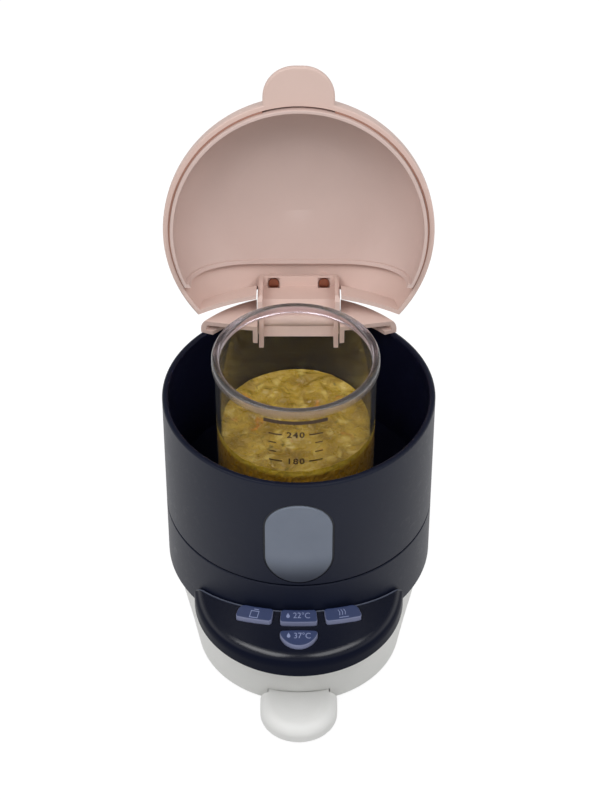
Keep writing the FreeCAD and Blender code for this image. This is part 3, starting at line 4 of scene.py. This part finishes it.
import bpy
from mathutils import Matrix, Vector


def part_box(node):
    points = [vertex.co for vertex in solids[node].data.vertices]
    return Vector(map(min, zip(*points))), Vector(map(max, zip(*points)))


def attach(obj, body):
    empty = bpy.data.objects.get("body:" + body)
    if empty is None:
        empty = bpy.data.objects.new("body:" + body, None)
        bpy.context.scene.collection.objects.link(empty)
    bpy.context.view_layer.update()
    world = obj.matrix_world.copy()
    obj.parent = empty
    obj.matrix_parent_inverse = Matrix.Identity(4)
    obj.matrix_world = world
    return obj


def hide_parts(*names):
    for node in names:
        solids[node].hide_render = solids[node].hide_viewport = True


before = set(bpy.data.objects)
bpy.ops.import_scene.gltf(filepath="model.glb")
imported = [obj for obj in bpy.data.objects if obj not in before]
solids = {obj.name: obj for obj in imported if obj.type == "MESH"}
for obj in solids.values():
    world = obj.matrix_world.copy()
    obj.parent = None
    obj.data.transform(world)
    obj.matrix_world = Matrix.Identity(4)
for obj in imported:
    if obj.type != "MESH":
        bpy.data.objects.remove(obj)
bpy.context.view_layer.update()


# Studio: a pale table in a white room with a dim ceiling, lit by two wide softboxes side by side
# above the front. The camera looks down from the front, as photographed.
WHITE = (1, 1, 1, 1)
LOOK_DOWN = math.radians(41.6)
CAMERA_DISTANCE = 1.157
CAMERA_SHIFT = 0.0006
SIGHT_HEIGHT = 0.14464
SOFTBOX_ASIDE = 0.8
SOFTBOX_FRONT = -0.65
SOFTBOX_HEIGHT = 1.52
LIT_HEIGHT = 0.13
TABLE_HEIGHT = -0.0005


def ramp(tree, source, start, end, low=0.0, high=1.0, ease="LINEAR"):
    """Goes from low to high, and no further, while the source goes from start to end."""
    step = tree.nodes.new("ShaderNodeMapRange")
    step.interpolation_type = ease
    for socket, level in (("From Min", start), ("From Max", end), ("To Min", low), ("To Max", high)):
        step.inputs[socket].default_value = level
    tree.links.new(source, step.inputs["Value"])
    return step.outputs[0]


def upward(tree, vector):
    """The upward part of a vector."""
    parts = tree.nodes.new("ShaderNodeSeparateXYZ")
    tree.links.new(vector, parts.inputs[0])
    return parts.outputs["Z"]


def seen_directly(tree):
    """Light Path nodes that give 1 to rays from the camera, mirrors and glass, and 0 to the rest."""
    path = tree.nodes.new("ShaderNodeLightPath")
    seen = path.outputs["Is Camera Ray"]
    for kind in ("Is Glossy Ray", "Is Transmission Ray"):
        either = tree.nodes.new("ShaderNodeMath")
        either.operation = "MAXIMUM"
        tree.links.new(seen, either.inputs[0])
        tree.links.new(path.outputs[kind], either.inputs[1])
        seen = either.outputs[0]
    return seen


def blend(tree, share, first, second, output):
    """Shows the first shader on the output, giving way to the second with the share."""
    both = tree.nodes.new("ShaderNodeMixShader")
    tree.links.new(share, both.inputs["Fac"])
    tree.links.new(first.outputs[0], both.inputs[1])
    tree.links.new(second.outputs[0], both.inputs[2])
    tree.links.new(both.outputs[0], tree.nodes[output].inputs["Surface"])


def new_finish(name):
    """A new material, with its tree and its shader."""
    material = bpy.data.materials.new(name)
    material.use_nodes = True
    return material, material.node_tree, material.node_tree.nodes["Principled BSDF"]


scene = bpy.context.scene
scene.view_settings.view_transform = "Standard"
lens = bpy.data.cameras.new("camera")
lens.lens = 109.2
lens.sensor_width = 36
camera = bpy.data.objects.new("camera", lens)
camera.location = (CAMERA_SHIFT, -CAMERA_DISTANCE * math.cos(LOOK_DOWN),
                   SIGHT_HEIGHT + CAMERA_DISTANCE * math.sin(LOOK_DOWN))
camera.rotation_euler = (math.radians(90) - LOOK_DOWN, 0, 0)
scene.collection.objects.link(camera)
scene.camera = camera

room = bpy.data.worlds.new("white_room")
room.use_nodes = True
scene.world = room
tree = room.node_tree
backdrop = tree.nodes["Background"]
backdrop.inputs["Color"].default_value = WHITE
direction = tree.nodes.new("ShaderNodeTexCoord").outputs["Generated"]
ceiling = ramp(tree, upward(tree, direction), start=0.25, end=0.6, low=1, high=0.04)
tree.links.new(ceiling, backdrop.inputs["Strength"])
fill = tree.nodes.new("ShaderNodeBackground")
fill.inputs["Color"].default_value = WHITE
fill.inputs["Strength"].default_value = 0.52
blend(tree, seen_directly(tree), fill, backdrop, "World Output")

for name, side, power in (("softbox_left", -1, 12.1), ("softbox_right", 1, 9.7)):
    lamp = bpy.data.lights.new(name, "AREA")
    lamp.shape = "RECTANGLE"
    lamp.size = 1.3
    lamp.size_y = 0.65
    lamp.energy = power
    softbox = bpy.data.objects.new(name, lamp)
    softbox.location = (side * SOFTBOX_ASIDE, SOFTBOX_FRONT, SOFTBOX_HEIGHT)
    aim = -softbox.location
    aim.z += LIT_HEIGHT
    softbox.rotation_euler = aim.to_track_quat("-Z", "Y").to_euler()
    scene.collection.objects.link(softbox)

bpy.ops.object.select_all(action="DESELECT")
bpy.ops.mesh.primitive_circle_add(vertices=64, radius=3, fill_type="NGON", location=(0, 0, TABLE_HEIGHT))
table = bpy.context.object
table.name = "table"
white_table, tree, painted = new_finish("white_table")
painted.inputs["Base Color"].default_value = (0.42, 0.42, 0.42, 1)
painted.inputs["Roughness"].default_value = 0.7
glow = tree.nodes.new("ShaderNodeEmission")
glow.inputs["Color"].default_value = WHITE
glow.inputs["Strength"].default_value = 1.46
blend(tree, ramp(tree, seen_directly(tree), 0, 1, high=0.62), painted, glow, "Material Output")
table.data.materials.append(white_table)


# Base: the pale moulded foot under the body, with its bottom plate, both held by plated screws, a
# grey rubber ring to stand on and a rubber gland at the back. Satin plastic, faintly clouded and
# rubbed smoother in places.
def light_colour(red, green, blue):
    """The linear colour of a screen colour given from 0 to 255."""
    def channel(level):
        share = level / 255
        return share / 12.92 if share <= 0.04045 else ((share + 0.055) / 1.055) ** 2.4
    return channel(red), channel(green), channel(blue), 1.0


def on_piece(tree):
    """The place on the piece, in its own coordinates."""
    return tree.nodes.new("ShaderNodeTexCoord").outputs["Object"]


def noise(tree, place, **levels):
    """A noise texture over these places, with its sockets set by their names."""
    texture = tree.nodes.new("ShaderNodeTexNoise")
    for socket, level in levels.items():
        texture.inputs[socket].default_value = level
    tree.links.new(place, texture.inputs["Vector"])
    return texture


def new_effect(name, given, kind, *masks):
    """A new node group with one input of this kind and these masks, with its two end nodes."""
    effect = bpy.data.node_groups.new(name, "ShaderNodeTree")
    effect.interface.new_socket(given, in_out="INPUT", socket_type=kind)
    for mask in masks:
        effect.interface.new_socket(mask, in_out="OUTPUT", socket_type="NodeSocketFloat")
    return effect, effect.nodes.new("NodeGroupInput"), effect.nodes.new("NodeGroupOutput")


moulded_skin, given, made = new_effect("moulded_skin", "Grain Scale", "NodeSocketFloat",
                                       "Grain", "Cloud", "Rub")
place = on_piece(moulded_skin)
grain = noise(moulded_skin, place, Detail=3)
moulded_skin.links.new(given.outputs["Grain Scale"], grain.inputs["Scale"])
cloud = noise(moulded_skin, place, Scale=45, Detail=4, Roughness=0.6)
rub = noise(moulded_skin, place, Scale=260, Detail=5, Distortion=1.2)
moulded_skin.links.new(grain.outputs[0], made.inputs["Grain"])
moulded_skin.links.new(cloud.outputs[0], made.inputs["Cloud"])
moulded_skin.links.new(ramp(moulded_skin, rub.outputs[0], 0.55, 0.8), made.inputs["Rub"])

brushed_lines, given, made = new_effect("brushed_lines", "Stretch", "NodeSocketVector", "Lines", "Stain")
place = on_piece(brushed_lines)
drawn = brushed_lines.nodes.new("ShaderNodeMapping")
brushed_lines.links.new(place, drawn.inputs["Vector"])
brushed_lines.links.new(given.outputs["Stretch"], drawn.inputs["Scale"])
lines = noise(brushed_lines, drawn.outputs[0], Scale=1, Detail=4)
stain = noise(brushed_lines, place, Scale=120, Detail=3)
brushed_lines.links.new(lines.outputs[0], made.inputs["Lines"])
brushed_lines.links.new(stain.outputs[0], made.inputs["Stain"])


def mixed(tree, mask, below, above):
    """The colour below, given or from another node, giving way to the one above with the mask."""
    tones = tree.nodes.new("ShaderNodeMix")
    tones.data_type = "RGBA"
    tones.inputs["B"].default_value = above
    if isinstance(below, bpy.types.NodeSocket):
        tree.links.new(below, tones.inputs["A"])
    else:
        tones.inputs["A"].default_value = below
    tree.links.new(mask, tones.inputs["Factor"])
    return tones.outputs["Result"]


def relief(tree, shader, height, depth):
    """Raises the surface by a mask, to this depth."""
    bump = tree.nodes.new("ShaderNodeBump")
    bump.inputs["Distance"].default_value = depth
    tree.links.new(height, bump.inputs["Height"])
    tree.links.new(bump.outputs[0], shader.inputs["Normal"])


def moulded(name, dark, light, smooth, rough, grain_scale=2500.0, grain_depth=0.00002):
    """Moulded plastic: clouded between two tones, rubbed smoother in places, with a fine grain."""
    material, tree, shader = new_finish(name)
    skin = tree.nodes.new("ShaderNodeGroup")
    skin.node_tree = moulded_skin
    skin.inputs["Grain Scale"].default_value = grain_scale
    tree.links.new(mixed(tree, skin.outputs["Cloud"], dark, light), shader.inputs["Base Color"])
    dulled = ramp(tree, skin.outputs["Rub"], 0, 1, low=rough, high=smooth)
    tree.links.new(dulled, shader.inputs["Roughness"])
    relief(tree, shader, skin.outputs["Grain"], grain_depth)
    return material


def steel(name, dark, light, smooth, rough, stretch, line_depth=0.00001):
    """Bare metal with fine drawn lines and faint stains."""
    material, tree, shader = new_finish(name)
    shader.inputs["Metallic"].default_value = 1
    brush = tree.nodes.new("ShaderNodeGroup")
    brush.node_tree = brushed_lines
    brush.inputs["Stretch"].default_value = stretch
    tree.links.new(mixed(tree, brush.outputs["Stain"], dark, light), shader.inputs["Base Color"])
    dulled = ramp(tree, brush.outputs["Lines"], 0, 1, low=smooth, high=rough)
    tree.links.new(dulled, shader.inputs["Roughness"])
    relief(tree, shader, brush.outputs["Lines"], line_depth)
    return material


def dress(material, *names):
    """Gives the named solids this finish."""
    for name in names:
        for place in solids[name].material_slots:
            place.material = material


warm_white = moulded("warm_white", light_colour(229, 229, 226), light_colour(238, 238, 235),
                     smooth=0.36, rough=0.48)
dress(warm_white, "base_shell", "base_plate")
grey_rubber = moulded("grey_rubber", light_colour(50, 52, 58), light_colour(62, 64, 70),
                      smooth=0.6, rough=0.8, grain_scale=1400.0, grain_depth=0.00004)
dress(grey_rubber, "foot_ring", "cord_gland")
TURNED = (3000, 3000, 400)
plated_steel = steel("plated_steel", light_colour(160, 160, 158), light_colour(196, 196, 192),
                     smooth=0.25, rough=0.45, stretch=TURNED)
dress(plated_steel, "base_plate_screws", "body_screws")

# Drip tray: one pale moulding that slides out of the front of the base by its rounded pull. The
# same plastic as the base, a shade smoother where fingers hold it.
pull_white = moulded("pull_white", light_colour(230, 230, 228), light_colour(238, 238, 236),
                     smooth=0.34, rough=0.46)
dress(pull_white, "drip_tray")

# Power board: a green circuit board on the base plate with its transformer, relay and terminals,
# held by four screws, and the grey leads and flat ribbon that go up to the heater and the console.
board_green = moulded("board_green", (0.012, 0.085, 0.035, 1), (0.03, 0.16, 0.07, 1),
                      smooth=0.3, rough=0.5, grain_scale=900.0)
component_black = moulded("component_black", (0.02, 0.02, 0.022, 1), (0.045, 0.045, 0.05, 1),
                          smooth=0.4, rough=0.6)
lead_grey = moulded("lead_grey", (0.18, 0.18, 0.19, 1), (0.28, 0.28, 0.29, 1), smooth=0.45, rough=0.65)
dress(board_green, "power_board")
dress(component_black, "power_components")
dress(lead_grey, "heater_leads", "console_ribbon")
dress(plated_steel, "board_screws")

# Body: the lower shell and the sleeve over it with the heating chamber, both dark navy plastic
# with a soft satin skin; the chamber walls are painted darker, as painted shade. They are screwed
# together from below at the seam.
BODY_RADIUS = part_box("upper_sleeve")[1].x


def from_axis(tree):
    """How far the place on the piece lies from the body's axis."""
    flat = tree.nodes.new("ShaderNodeVectorMath")
    flat.operation = "MULTIPLY"
    flat.inputs[1].default_value = (1, 1, 0)
    tree.links.new(on_piece(tree), flat.inputs[0])
    reach = tree.nodes.new("ShaderNodeVectorMath")
    reach.operation = "LENGTH"
    tree.links.new(flat.outputs["Vector"], reach.inputs[0])
    return reach.outputs["Value"]


def tint(material, mask, colour):
    """Lays a colour over a finish where the mask is high."""
    tree = material.node_tree
    base = tree.nodes["Principled BSDF"].inputs["Base Color"]
    tree.links.new(mixed(tree, mask, base.links[0].from_socket, colour), base)


satin_navy = moulded("satin_navy", light_colour(11, 16, 34), light_colour(16, 22, 41),
                     smooth=0.38, rough=0.46)
tree = satin_navy.node_tree
tree.nodes["Principled BSDF"].inputs["Specular IOR Level"].default_value = 0.2
# painted shade: the chamber walls are painted darker than the outside of the sleeve
painted_chamber_shade = ramp(tree, from_axis(tree), BODY_RADIUS - 0.0014, BODY_RADIUS - 0.0026)
tint(satin_navy, painted_chamber_shade, light_colour(11, 13, 32))
dress(satin_navy, "lower_shell", "upper_sleeve", "overflow_pipe")
dress(plated_steel, "sleeve_screws")


# Console: a lacquered cover on the front of the lower shell, over a plain floor with the button
# board and its switches. Dark navy, sprayed from above, so that its top has a soft gloss and its
# flanks stay dull, with a painted highlight along its rear lip.
def facing(tree):
    """The way that the surface faces."""
    return tree.nodes.new("ShaderNodeNewGeometry").outputs["Normal"]


console_lacquer = moulded("console_lacquer", light_colour(8, 12, 28), light_colour(11, 16, 34),
                          smooth=0.34, rough=0.42, grain_scale=1200.0, grain_depth=0.000004)
tree = console_lacquer.node_tree
shader = tree.nodes["Principled BSDF"]
shader.inputs["Specular IOR Level"].default_value = 0.05
shader.inputs["Coat Roughness"].default_value = 0.23
polish = ramp(tree, upward(tree, facing(tree)), 0.5, 0.75, ease="SMOOTHSTEP")
tree.links.new(polish, shader.inputs["Coat Weight"])
# painted highlight: a pale band painted along the cover's rear lip, where its rounded edge would catch
# light
painted_lip_highlight = ramp(tree, from_axis(tree), BODY_RADIUS + 0.0021, BODY_RADIUS + 0.0010, ease="SMOOTHSTEP")
tint(console_lacquer, painted_lip_highlight, light_colour(112, 118, 136))
dress(console_lacquer, "console_cover")
dress(satin_navy, "console_floor")
dress(board_green, "control_board")
dress(component_black, "touch_switches")

# Buttons: four translucent slate caps, their flanks lightened by a painted highlight, three in a row
# on an arc and a half-moon below, each on its own spring. Their signs are pale ink printed on top: a
# jar, two drops with a temperature, and steam.
BUTTON_TURN = math.radians(17.4)
BUTTON_ROW = BODY_RADIUS + 0.0051
LOWER_ROW = -0.0801
ABOVE = 0.09
INK = 0.00004
LINE = 0.00035
DROP_HEIGHT = 0.0024
LETTER_HEIGHT = 0.0028
SIZE_OVER_HEIGHT = 1.4
slate_cap = moulded("slate_cap", light_colour(36, 49, 88), light_colour(44, 58, 98),
                    smooth=0.34, rough=0.46)
tree = slate_cap.node_tree
# painted highlight: the caps' flanks, turned away from the top, are painted paler
tint(slate_cap, ramp(tree, upward(tree, facing(tree)), 0.8, 0.3), light_colour(134, 140, 172))
dress(slate_cap, "button_left", "button_upper", "button_right", "button_lower")
pale_ink = moulded("pale_ink", light_colour(116, 126, 164), light_colour(136, 146, 182),
                   smooth=0.4, rough=0.55)


def only(piece):
    """Leaves this object alone selected and active."""
    bpy.ops.object.select_all(action="DESELECT")
    piece.select_set(True)
    bpy.context.view_layer.objects.active = piece


def settle(piece):
    """Puts the object's place, turn and scale into its mesh."""
    only(piece)
    bpy.ops.object.transform_apply(location=True, rotation=True, scale=True)


def apply(piece, kind, name, **settings):
    """Adds a modifier with these settings and applies it."""
    only(piece)
    made = piece.modifiers.new(name, kind)
    for setting, chosen in settings.items():
        setattr(made, setting, chosen)
    bpy.ops.object.modifier_apply(modifier=made.name)


def words(text, height, place, turn=(0, 0, 0), weight=0.0, gap=1.0):
    """Flat lettering of this height, extra weight and letter gap, centred on place."""
    bpy.ops.object.select_all(action="DESELECT")
    bpy.ops.object.text_add(location=place, rotation=turn)
    piece = bpy.context.object
    piece.data.body = text
    piece.data.size = height * SIZE_OVER_HEIGHT
    piece.data.align_x = "CENTER"
    piece.data.align_y = "CENTER"
    piece.data.resolution_u = 4
    piece.data.offset = weight
    piece.data.space_character = gap
    only(piece)
    bpy.ops.object.convert(target="MESH")
    piece = bpy.context.object
    settle(piece)
    return piece


def strip(width, height, place, turn, cuts=6):
    """A flat bar, cut across so that it can follow a curve."""
    bpy.ops.object.select_all(action="DESELECT")
    bpy.ops.mesh.primitive_grid_add(x_subdivisions=cuts, y_subdivisions=1, size=1, location=place,
                                    rotation=turn)
    piece = bpy.context.object
    piece.scale = (width, height, 1)
    settle(piece)
    return piece


def drop(place):
    """A flat teardrop, point up."""
    radius = 0.36 * DROP_HEIGHT
    bpy.ops.object.select_all(action="DESELECT")
    bpy.ops.mesh.primitive_circle_add(vertices=24, radius=radius, fill_type="NGON", location=place)
    piece = bpy.context.object
    for corner in piece.data.vertices:
        rise = max(0.0, corner.co.y) / radius
        corner.co.x *= 1 - 0.8 * rise ** 2
        corner.co.y += 0.34 * DROP_HEIGHT * rise ** 2
    settle(piece)
    return piece


def joined(name, pieces):
    """One object of several."""
    only(pieces[0])
    for piece in pieces[1:]:
        piece.select_set(True)
    bpy.ops.object.join()
    pieces[0].name = name
    return pieces[0]


def printed(piece, solid, axis, body, ink):
    """Lays a flat sign on a solid along an axis, as thin ink, and lets it ride on the body."""
    apply(piece, "SHRINKWRAP", "lay", target=solids[solid], wrap_method="PROJECT",
          wrap_mode="ABOVE_SURFACE", offset=INK, use_project_z=axis == "Z", use_project_y=axis == "Y",
          use_positive_direction=axis == "Y", use_negative_direction=axis == "Z")
    piece.data.materials.clear()
    piece.data.materials.append(ink)
    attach(piece, body)


def on_row(turn, across, along):
    """A point above the button row: across and along a button that is turned round the body."""
    middle = (BUTTON_ROW * math.sin(turn), -BUTTON_ROW * math.cos(turn))
    return (middle[0] + across * math.cos(turn) - along * math.sin(turn),
            middle[1] + across * math.sin(turn) + along * math.cos(turn), ABOVE)


def stroke(turn, width, height, across, along, lean=0.0):
    """A bar of a sign on a turned button."""
    return strip(width, height, on_row(turn, across, along), (0, 0, turn + lean))


def sign(name, button, pieces):
    """Prints the pieces as one sign on a button."""
    printed(joined(name, pieces), button, "Z", button, pale_ink)


POT_LINES = ((0.0042, LINE, 0, -0.0024), (0.0042, LINE, 0, 0.0007), (LINE, 0.0034, -0.0019, -0.0009),
             (LINE, 0.0034, 0.0019, -0.0009), (0.0022, LINE, 0.0004, 0.0016))
sign("sign_jar", "button_left", [stroke(-BUTTON_TURN, *line) for line in POT_LINES])
sign("sign_warm", "button_upper", [drop(on_row(0, -0.0051, -0.0002)),
                                   words("22°C", LETTER_HEIGHT, on_row(0, 0.0014, 0))])
steam = [stroke(BUTTON_TURN, 0.0048, LINE, 0, -0.0022)]
for across in (-0.0016, -0.0002, 0.0012):
    for along, lean in ((0.0009, 0.35), (-0.0004, -0.35)):
        steam.append(stroke(BUTTON_TURN, LINE, 0.0015, across, along, lean))
sign("sign_steam", "button_right", steam)
sign("sign_hot", "button_lower", [drop((-0.0048, LOWER_ROW, ABOVE)),
                                  words("37°C", LETTER_HEIGHT, (0.0017, LOWER_ROW, ABOVE))])

# Heater: a brushed steel plate in the chamber floor on a rubber seal, clamped from below, with a
# ring element, a thermostat, a fuse and a sensor pressed against it.
BRUSHED = (60, 4000, 400)
plate_steel = steel("plate_steel", light_colour(150, 150, 152), light_colour(190, 190, 190),
                    smooth=0.25, rough=0.42, stretch=BRUSHED)
dress(plate_steel, "heating_plate", "plate_clamp", "heater_element", "temperature_sensor")
dress(component_black, "thermostat", "thermal_fuse")
dress(plated_steel, "clamp_screws")
dress(grey_rubber, "plate_seal")

# Window: a frosted lens pressed into the front of the sleeve on a dark gasket. Its colour is
# painted darker towards its foot, as painted shade.
WINDOW_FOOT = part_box("window_lens")[0].z
frosted = moulded("frosted", light_colour(111, 119, 134), light_colour(125, 133, 148),
                  smooth=0.5, rough=0.6, grain_scale=1800.0)
tree = frosted.node_tree
shader = tree.nodes["Principled BSDF"]
shader.inputs["Subsurface Weight"].default_value = 0.2
shader.inputs["Subsurface Radius"].default_value = (0.004, 0.004, 0.005)
# painted shade: the lens is painted darker towards its foot
shade = ramp(tree, upward(tree, on_piece(tree)), WINDOW_FOOT + 0.0185, WINDOW_FOOT - 0.0005,
             ease="SMOOTHSTEP")
tint(frosted, shade, light_colour(28, 35, 52))
dress(frosted, "window_lens")
dress(grey_rubber, "window_gasket")

# Hinge: a collar clipped over the rear of the rim, moulded in the lid's satin pink plastic, with a
# plated steel pin pressed across its ears.
satin_pink = moulded("satin_pink", light_colour(211, 184, 174), light_colour(219, 192, 182),
                     smooth=0.4, rough=0.5)
dress(satin_pink, "hinge_collar")
dress(plated_steel, "hinge_pin")

# Lid: a domed pink shell with a rounded tab, a liner pan inside it, a rose seal between their rims
# and a flat arm to the hinge, held by two bronzed screws in square pockets.
liner_pink = moulded("liner_pink", light_colour(205, 181, 173), light_colour(213, 189, 181),
                     smooth=0.4, rough=0.5)
rose_rubber = moulded("rose_rubber", light_colour(160, 116, 100), light_colour(176, 132, 116),
                      smooth=0.55, rough=0.7, grain_scale=1400.0)
bronzed_steel = steel("bronzed_steel", light_colour(142, 92, 72), light_colour(170, 116, 94),
                      smooth=0.3, rough=0.5, stretch=TURNED)
dress(satin_pink, "lid_shell", "hinge_arm")
dress(liner_pink, "lid_liner")
dress(rose_rubber, "lid_seal")
dress(bronzed_steel, "arm_screws")

# Jar: a thick clear beaker with a beaded rim, a little dulled by use, standing on the plate. Its
# filling marks are dark brown ink, fired on the front.
JAR_LOW, JAR_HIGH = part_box("jar")
JAR_MIDDLE = (JAR_LOW + JAR_HIGH) / 2
JAR_TOP = JAR_HIGH.z
clear_glass, tree, shader = new_finish("clear_glass")
for socket, level in (("IOR", 1.42), ("Transmission Weight", 1), ("Coat IOR", 1.5),
                      ("Coat Roughness", 0.45), ("Sheen Weight", 0.034), ("Sheen Roughness", 0.6)):
    shader.inputs[socket].default_value = level
bead = ramp(tree, upward(tree, on_piece(tree)), JAR_TOP - 0.0061, JAR_TOP - 0.0044)
tree.links.new(mixed(tree, bead, (0.97, 0.965, 0.967, 1), light_colour(224, 212, 222)),
               shader.inputs["Base Color"])
tree.links.new(ramp(tree, bead, 0, 1, low=0.01, high=0.23), shader.inputs["Roughness"])
tree.links.new(bead, shader.inputs["Coat Weight"])
through = tree.nodes.new("ShaderNodeBsdfTransparent")
through.inputs["Color"].default_value = (0.9, 0.9, 0.9, 1)
path = tree.nodes.new("ShaderNodeLightPath")
blend(tree, path.outputs["Is Shadow Ray"], shader, through, "Material Output")
dress(clear_glass, "jar")

BEFORE_JAR = -0.06
UPRIGHT = (math.radians(90), 0, 0)
NUMBER_HEIGHT = 0.0035
brown_ink = moulded("brown_ink", light_colour(64, 48, 38), light_colour(78, 60, 46),
                    smooth=0.45, rough=0.6)


def before_jar(across, below):
    """A point in front of the jar, across from its middle and below its top."""
    return JAR_MIDDLE.x + across, BEFORE_JAR, JAR_TOP - below


def mark(width, height, across, below):
    """A straight mark on the jar's front."""
    return strip(width, height, before_jar(across, below), UPRIGHT, cuts=16)


def pair(width, height, aside, below):
    """Two like marks, left and right of the jar's middle."""
    return [mark(width, height, across, below) for across in (-aside, aside)]


marks = [mark(width=0.0295, height=0.0021, across=0, below=0.0082)]
for below, text in ((0.0159, "240"), (0.0325, "180")):
    marks.append(words(text, NUMBER_HEIGHT, before_jar(0, below), UPRIGHT, weight=0.00012, gap=1.2))
    marks += pair(width=0.0062, height=0.0008, aside=0.0094, below=below)
for below in (0.0213, 0.0269):
    marks += pair(width=0.0036, height=0.0007, aside=0.0108, below=below)
printed(joined("jar_marks", marks), "jar", "Y", "jar", brown_ink)

# Puree: about half a jar of cooked vegetables, coarsely blended and moist, heaped unevenly and
# pressed against the glass, where it leaves a paler line round its top. Its sides are painted
# darker, as painted shade.
FOOD_LOW, FOOD_HIGH = (corner.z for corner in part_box("food"))
FOOD_RADIUS = 0.0356
FOOD_SPREAD = 1.011
FOOD_RINGS = 34
RING_WIDTH = 0.001
TOP_DEPTH = 0.0005
EDGE_HEAP = 0.35
HEAP_RISE = 3


def pick(piece, wanted):
    """Opens the object for editing with only the wanted faces selected."""
    only(piece)
    bpy.ops.object.mode_set(mode="EDIT")
    bpy.ops.mesh.select_mode(type="FACE")
    bpy.ops.mesh.select_all(action="DESELECT")
    bpy.ops.object.mode_set(mode="OBJECT")
    for face in piece.data.polygons:
        face.select = wanted(face)
    bpy.ops.object.mode_set(mode="EDIT")


bpy.ops.object.select_all(action="DESELECT")
bpy.ops.mesh.primitive_cylinder_add(vertices=128, radius=FOOD_RADIUS, depth=FOOD_HIGH - FOOD_LOW,
                                    location=(*JAR_MIDDLE.xy, (FOOD_LOW + FOOD_HIGH) / 2))
puree = bpy.context.object
puree.name = "puree"
settle(puree)
pick(puree, lambda face: face.normal.z > 0.9)
bpy.ops.transform.resize(value=(FOOD_SPREAD, FOOD_SPREAD, 1))
for ring in range(FOOD_RINGS):
    bpy.ops.mesh.inset(thickness=RING_WIDTH, depth=0)
bpy.ops.mesh.merge(type="CENTER")
bpy.ops.object.mode_set(mode="OBJECT")
surface = puree.vertex_groups.new(name="surface")
for corner in puree.data.vertices:
    inner = 1 - (corner.co - JAR_MIDDLE).xy.length / FOOD_RADIUS
    if corner.co.z > FOOD_HIGH - TOP_DEPTH:
        surface.add([corner.index], min(1.0, EDGE_HEAP + HEAP_RISE * inner), "REPLACE")
for name, size, height in (("heaps", 0.013, 0.006), ("lumps", 0.006, 0.0034)):
    texture = bpy.data.textures.new(name, "CLOUDS")
    texture.noise_scale = size
    texture.noise_depth = 2
    apply(puree, "DISPLACE", name, texture=texture, texture_coords="LOCAL", direction="Z",
          strength=height, mid_level=0.55, vertex_group="surface")
only(puree)
bpy.ops.object.shade_smooth_by_angle(angle=math.radians(50))

cooked_puree, tree, shader = new_finish("cooked_puree")
place = on_piece(tree)


def speckle(scale, detail, low, high):
    """A noise mask on the puree, cut between two levels."""
    flecks = noise(tree, place, Scale=scale, Detail=detail, Distortion=0.6)
    return ramp(tree, flecks.outputs[0], low, high)


# painted shade: the sides of the puree, turned away from the top, are painted darker brown
painted_flank_shade = ramp(tree, upward(tree, facing(tree)), 0.5, 0.2)
brim = ramp(tree, upward(tree, place), FOOD_HIGH - 0.0046, FOOD_HIGH - 0.0026)
smear = tree.nodes.new("ShaderNodeMath")
smear.operation = "MULTIPLY"
tree.links.new(brim, smear.inputs[0])
tree.links.new(painted_flank_shade, smear.inputs[1])
flesh = mixed(tree, speckle(75, 1.5, 0.3, 0.7), light_colour(126, 99, 22), light_colour(170, 141, 52))
for mask, colour in ((speckle(150, 1, 0.56, 0.72), light_colour(184, 160, 82)),
                     (speckle(110, 2, 0.66, 0.76), light_colour(176, 116, 40)),
                     (speckle(260, 1, 0.66, 0.78), light_colour(106, 90, 26)),
                     (painted_flank_shade, light_colour(130, 95, 6)),
                     (smear.outputs[0], light_colour(182, 152, 44))):
    flesh = mixed(tree, mask, flesh, colour)
tree.links.new(flesh, shader.inputs["Base Color"])
moist = ramp(tree, speckle(240, 2, 0.3, 0.7), 0, 1, low=0.2, high=0.45)
tree.links.new(moist, shader.inputs["Roughness"])
relief(tree, shader, speckle(260, 1.5, 0.3, 0.7), depth=0.0007)
shader.inputs["Subsurface Weight"].default_value = 0.15
shader.inputs["Subsurface Radius"].default_value = (0.003, 0.002, 0.0006)
shader.inputs["Coat Weight"].default_value = 0.2
puree.data.materials.append(cooked_puree)
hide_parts("food")
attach(puree, "jar")
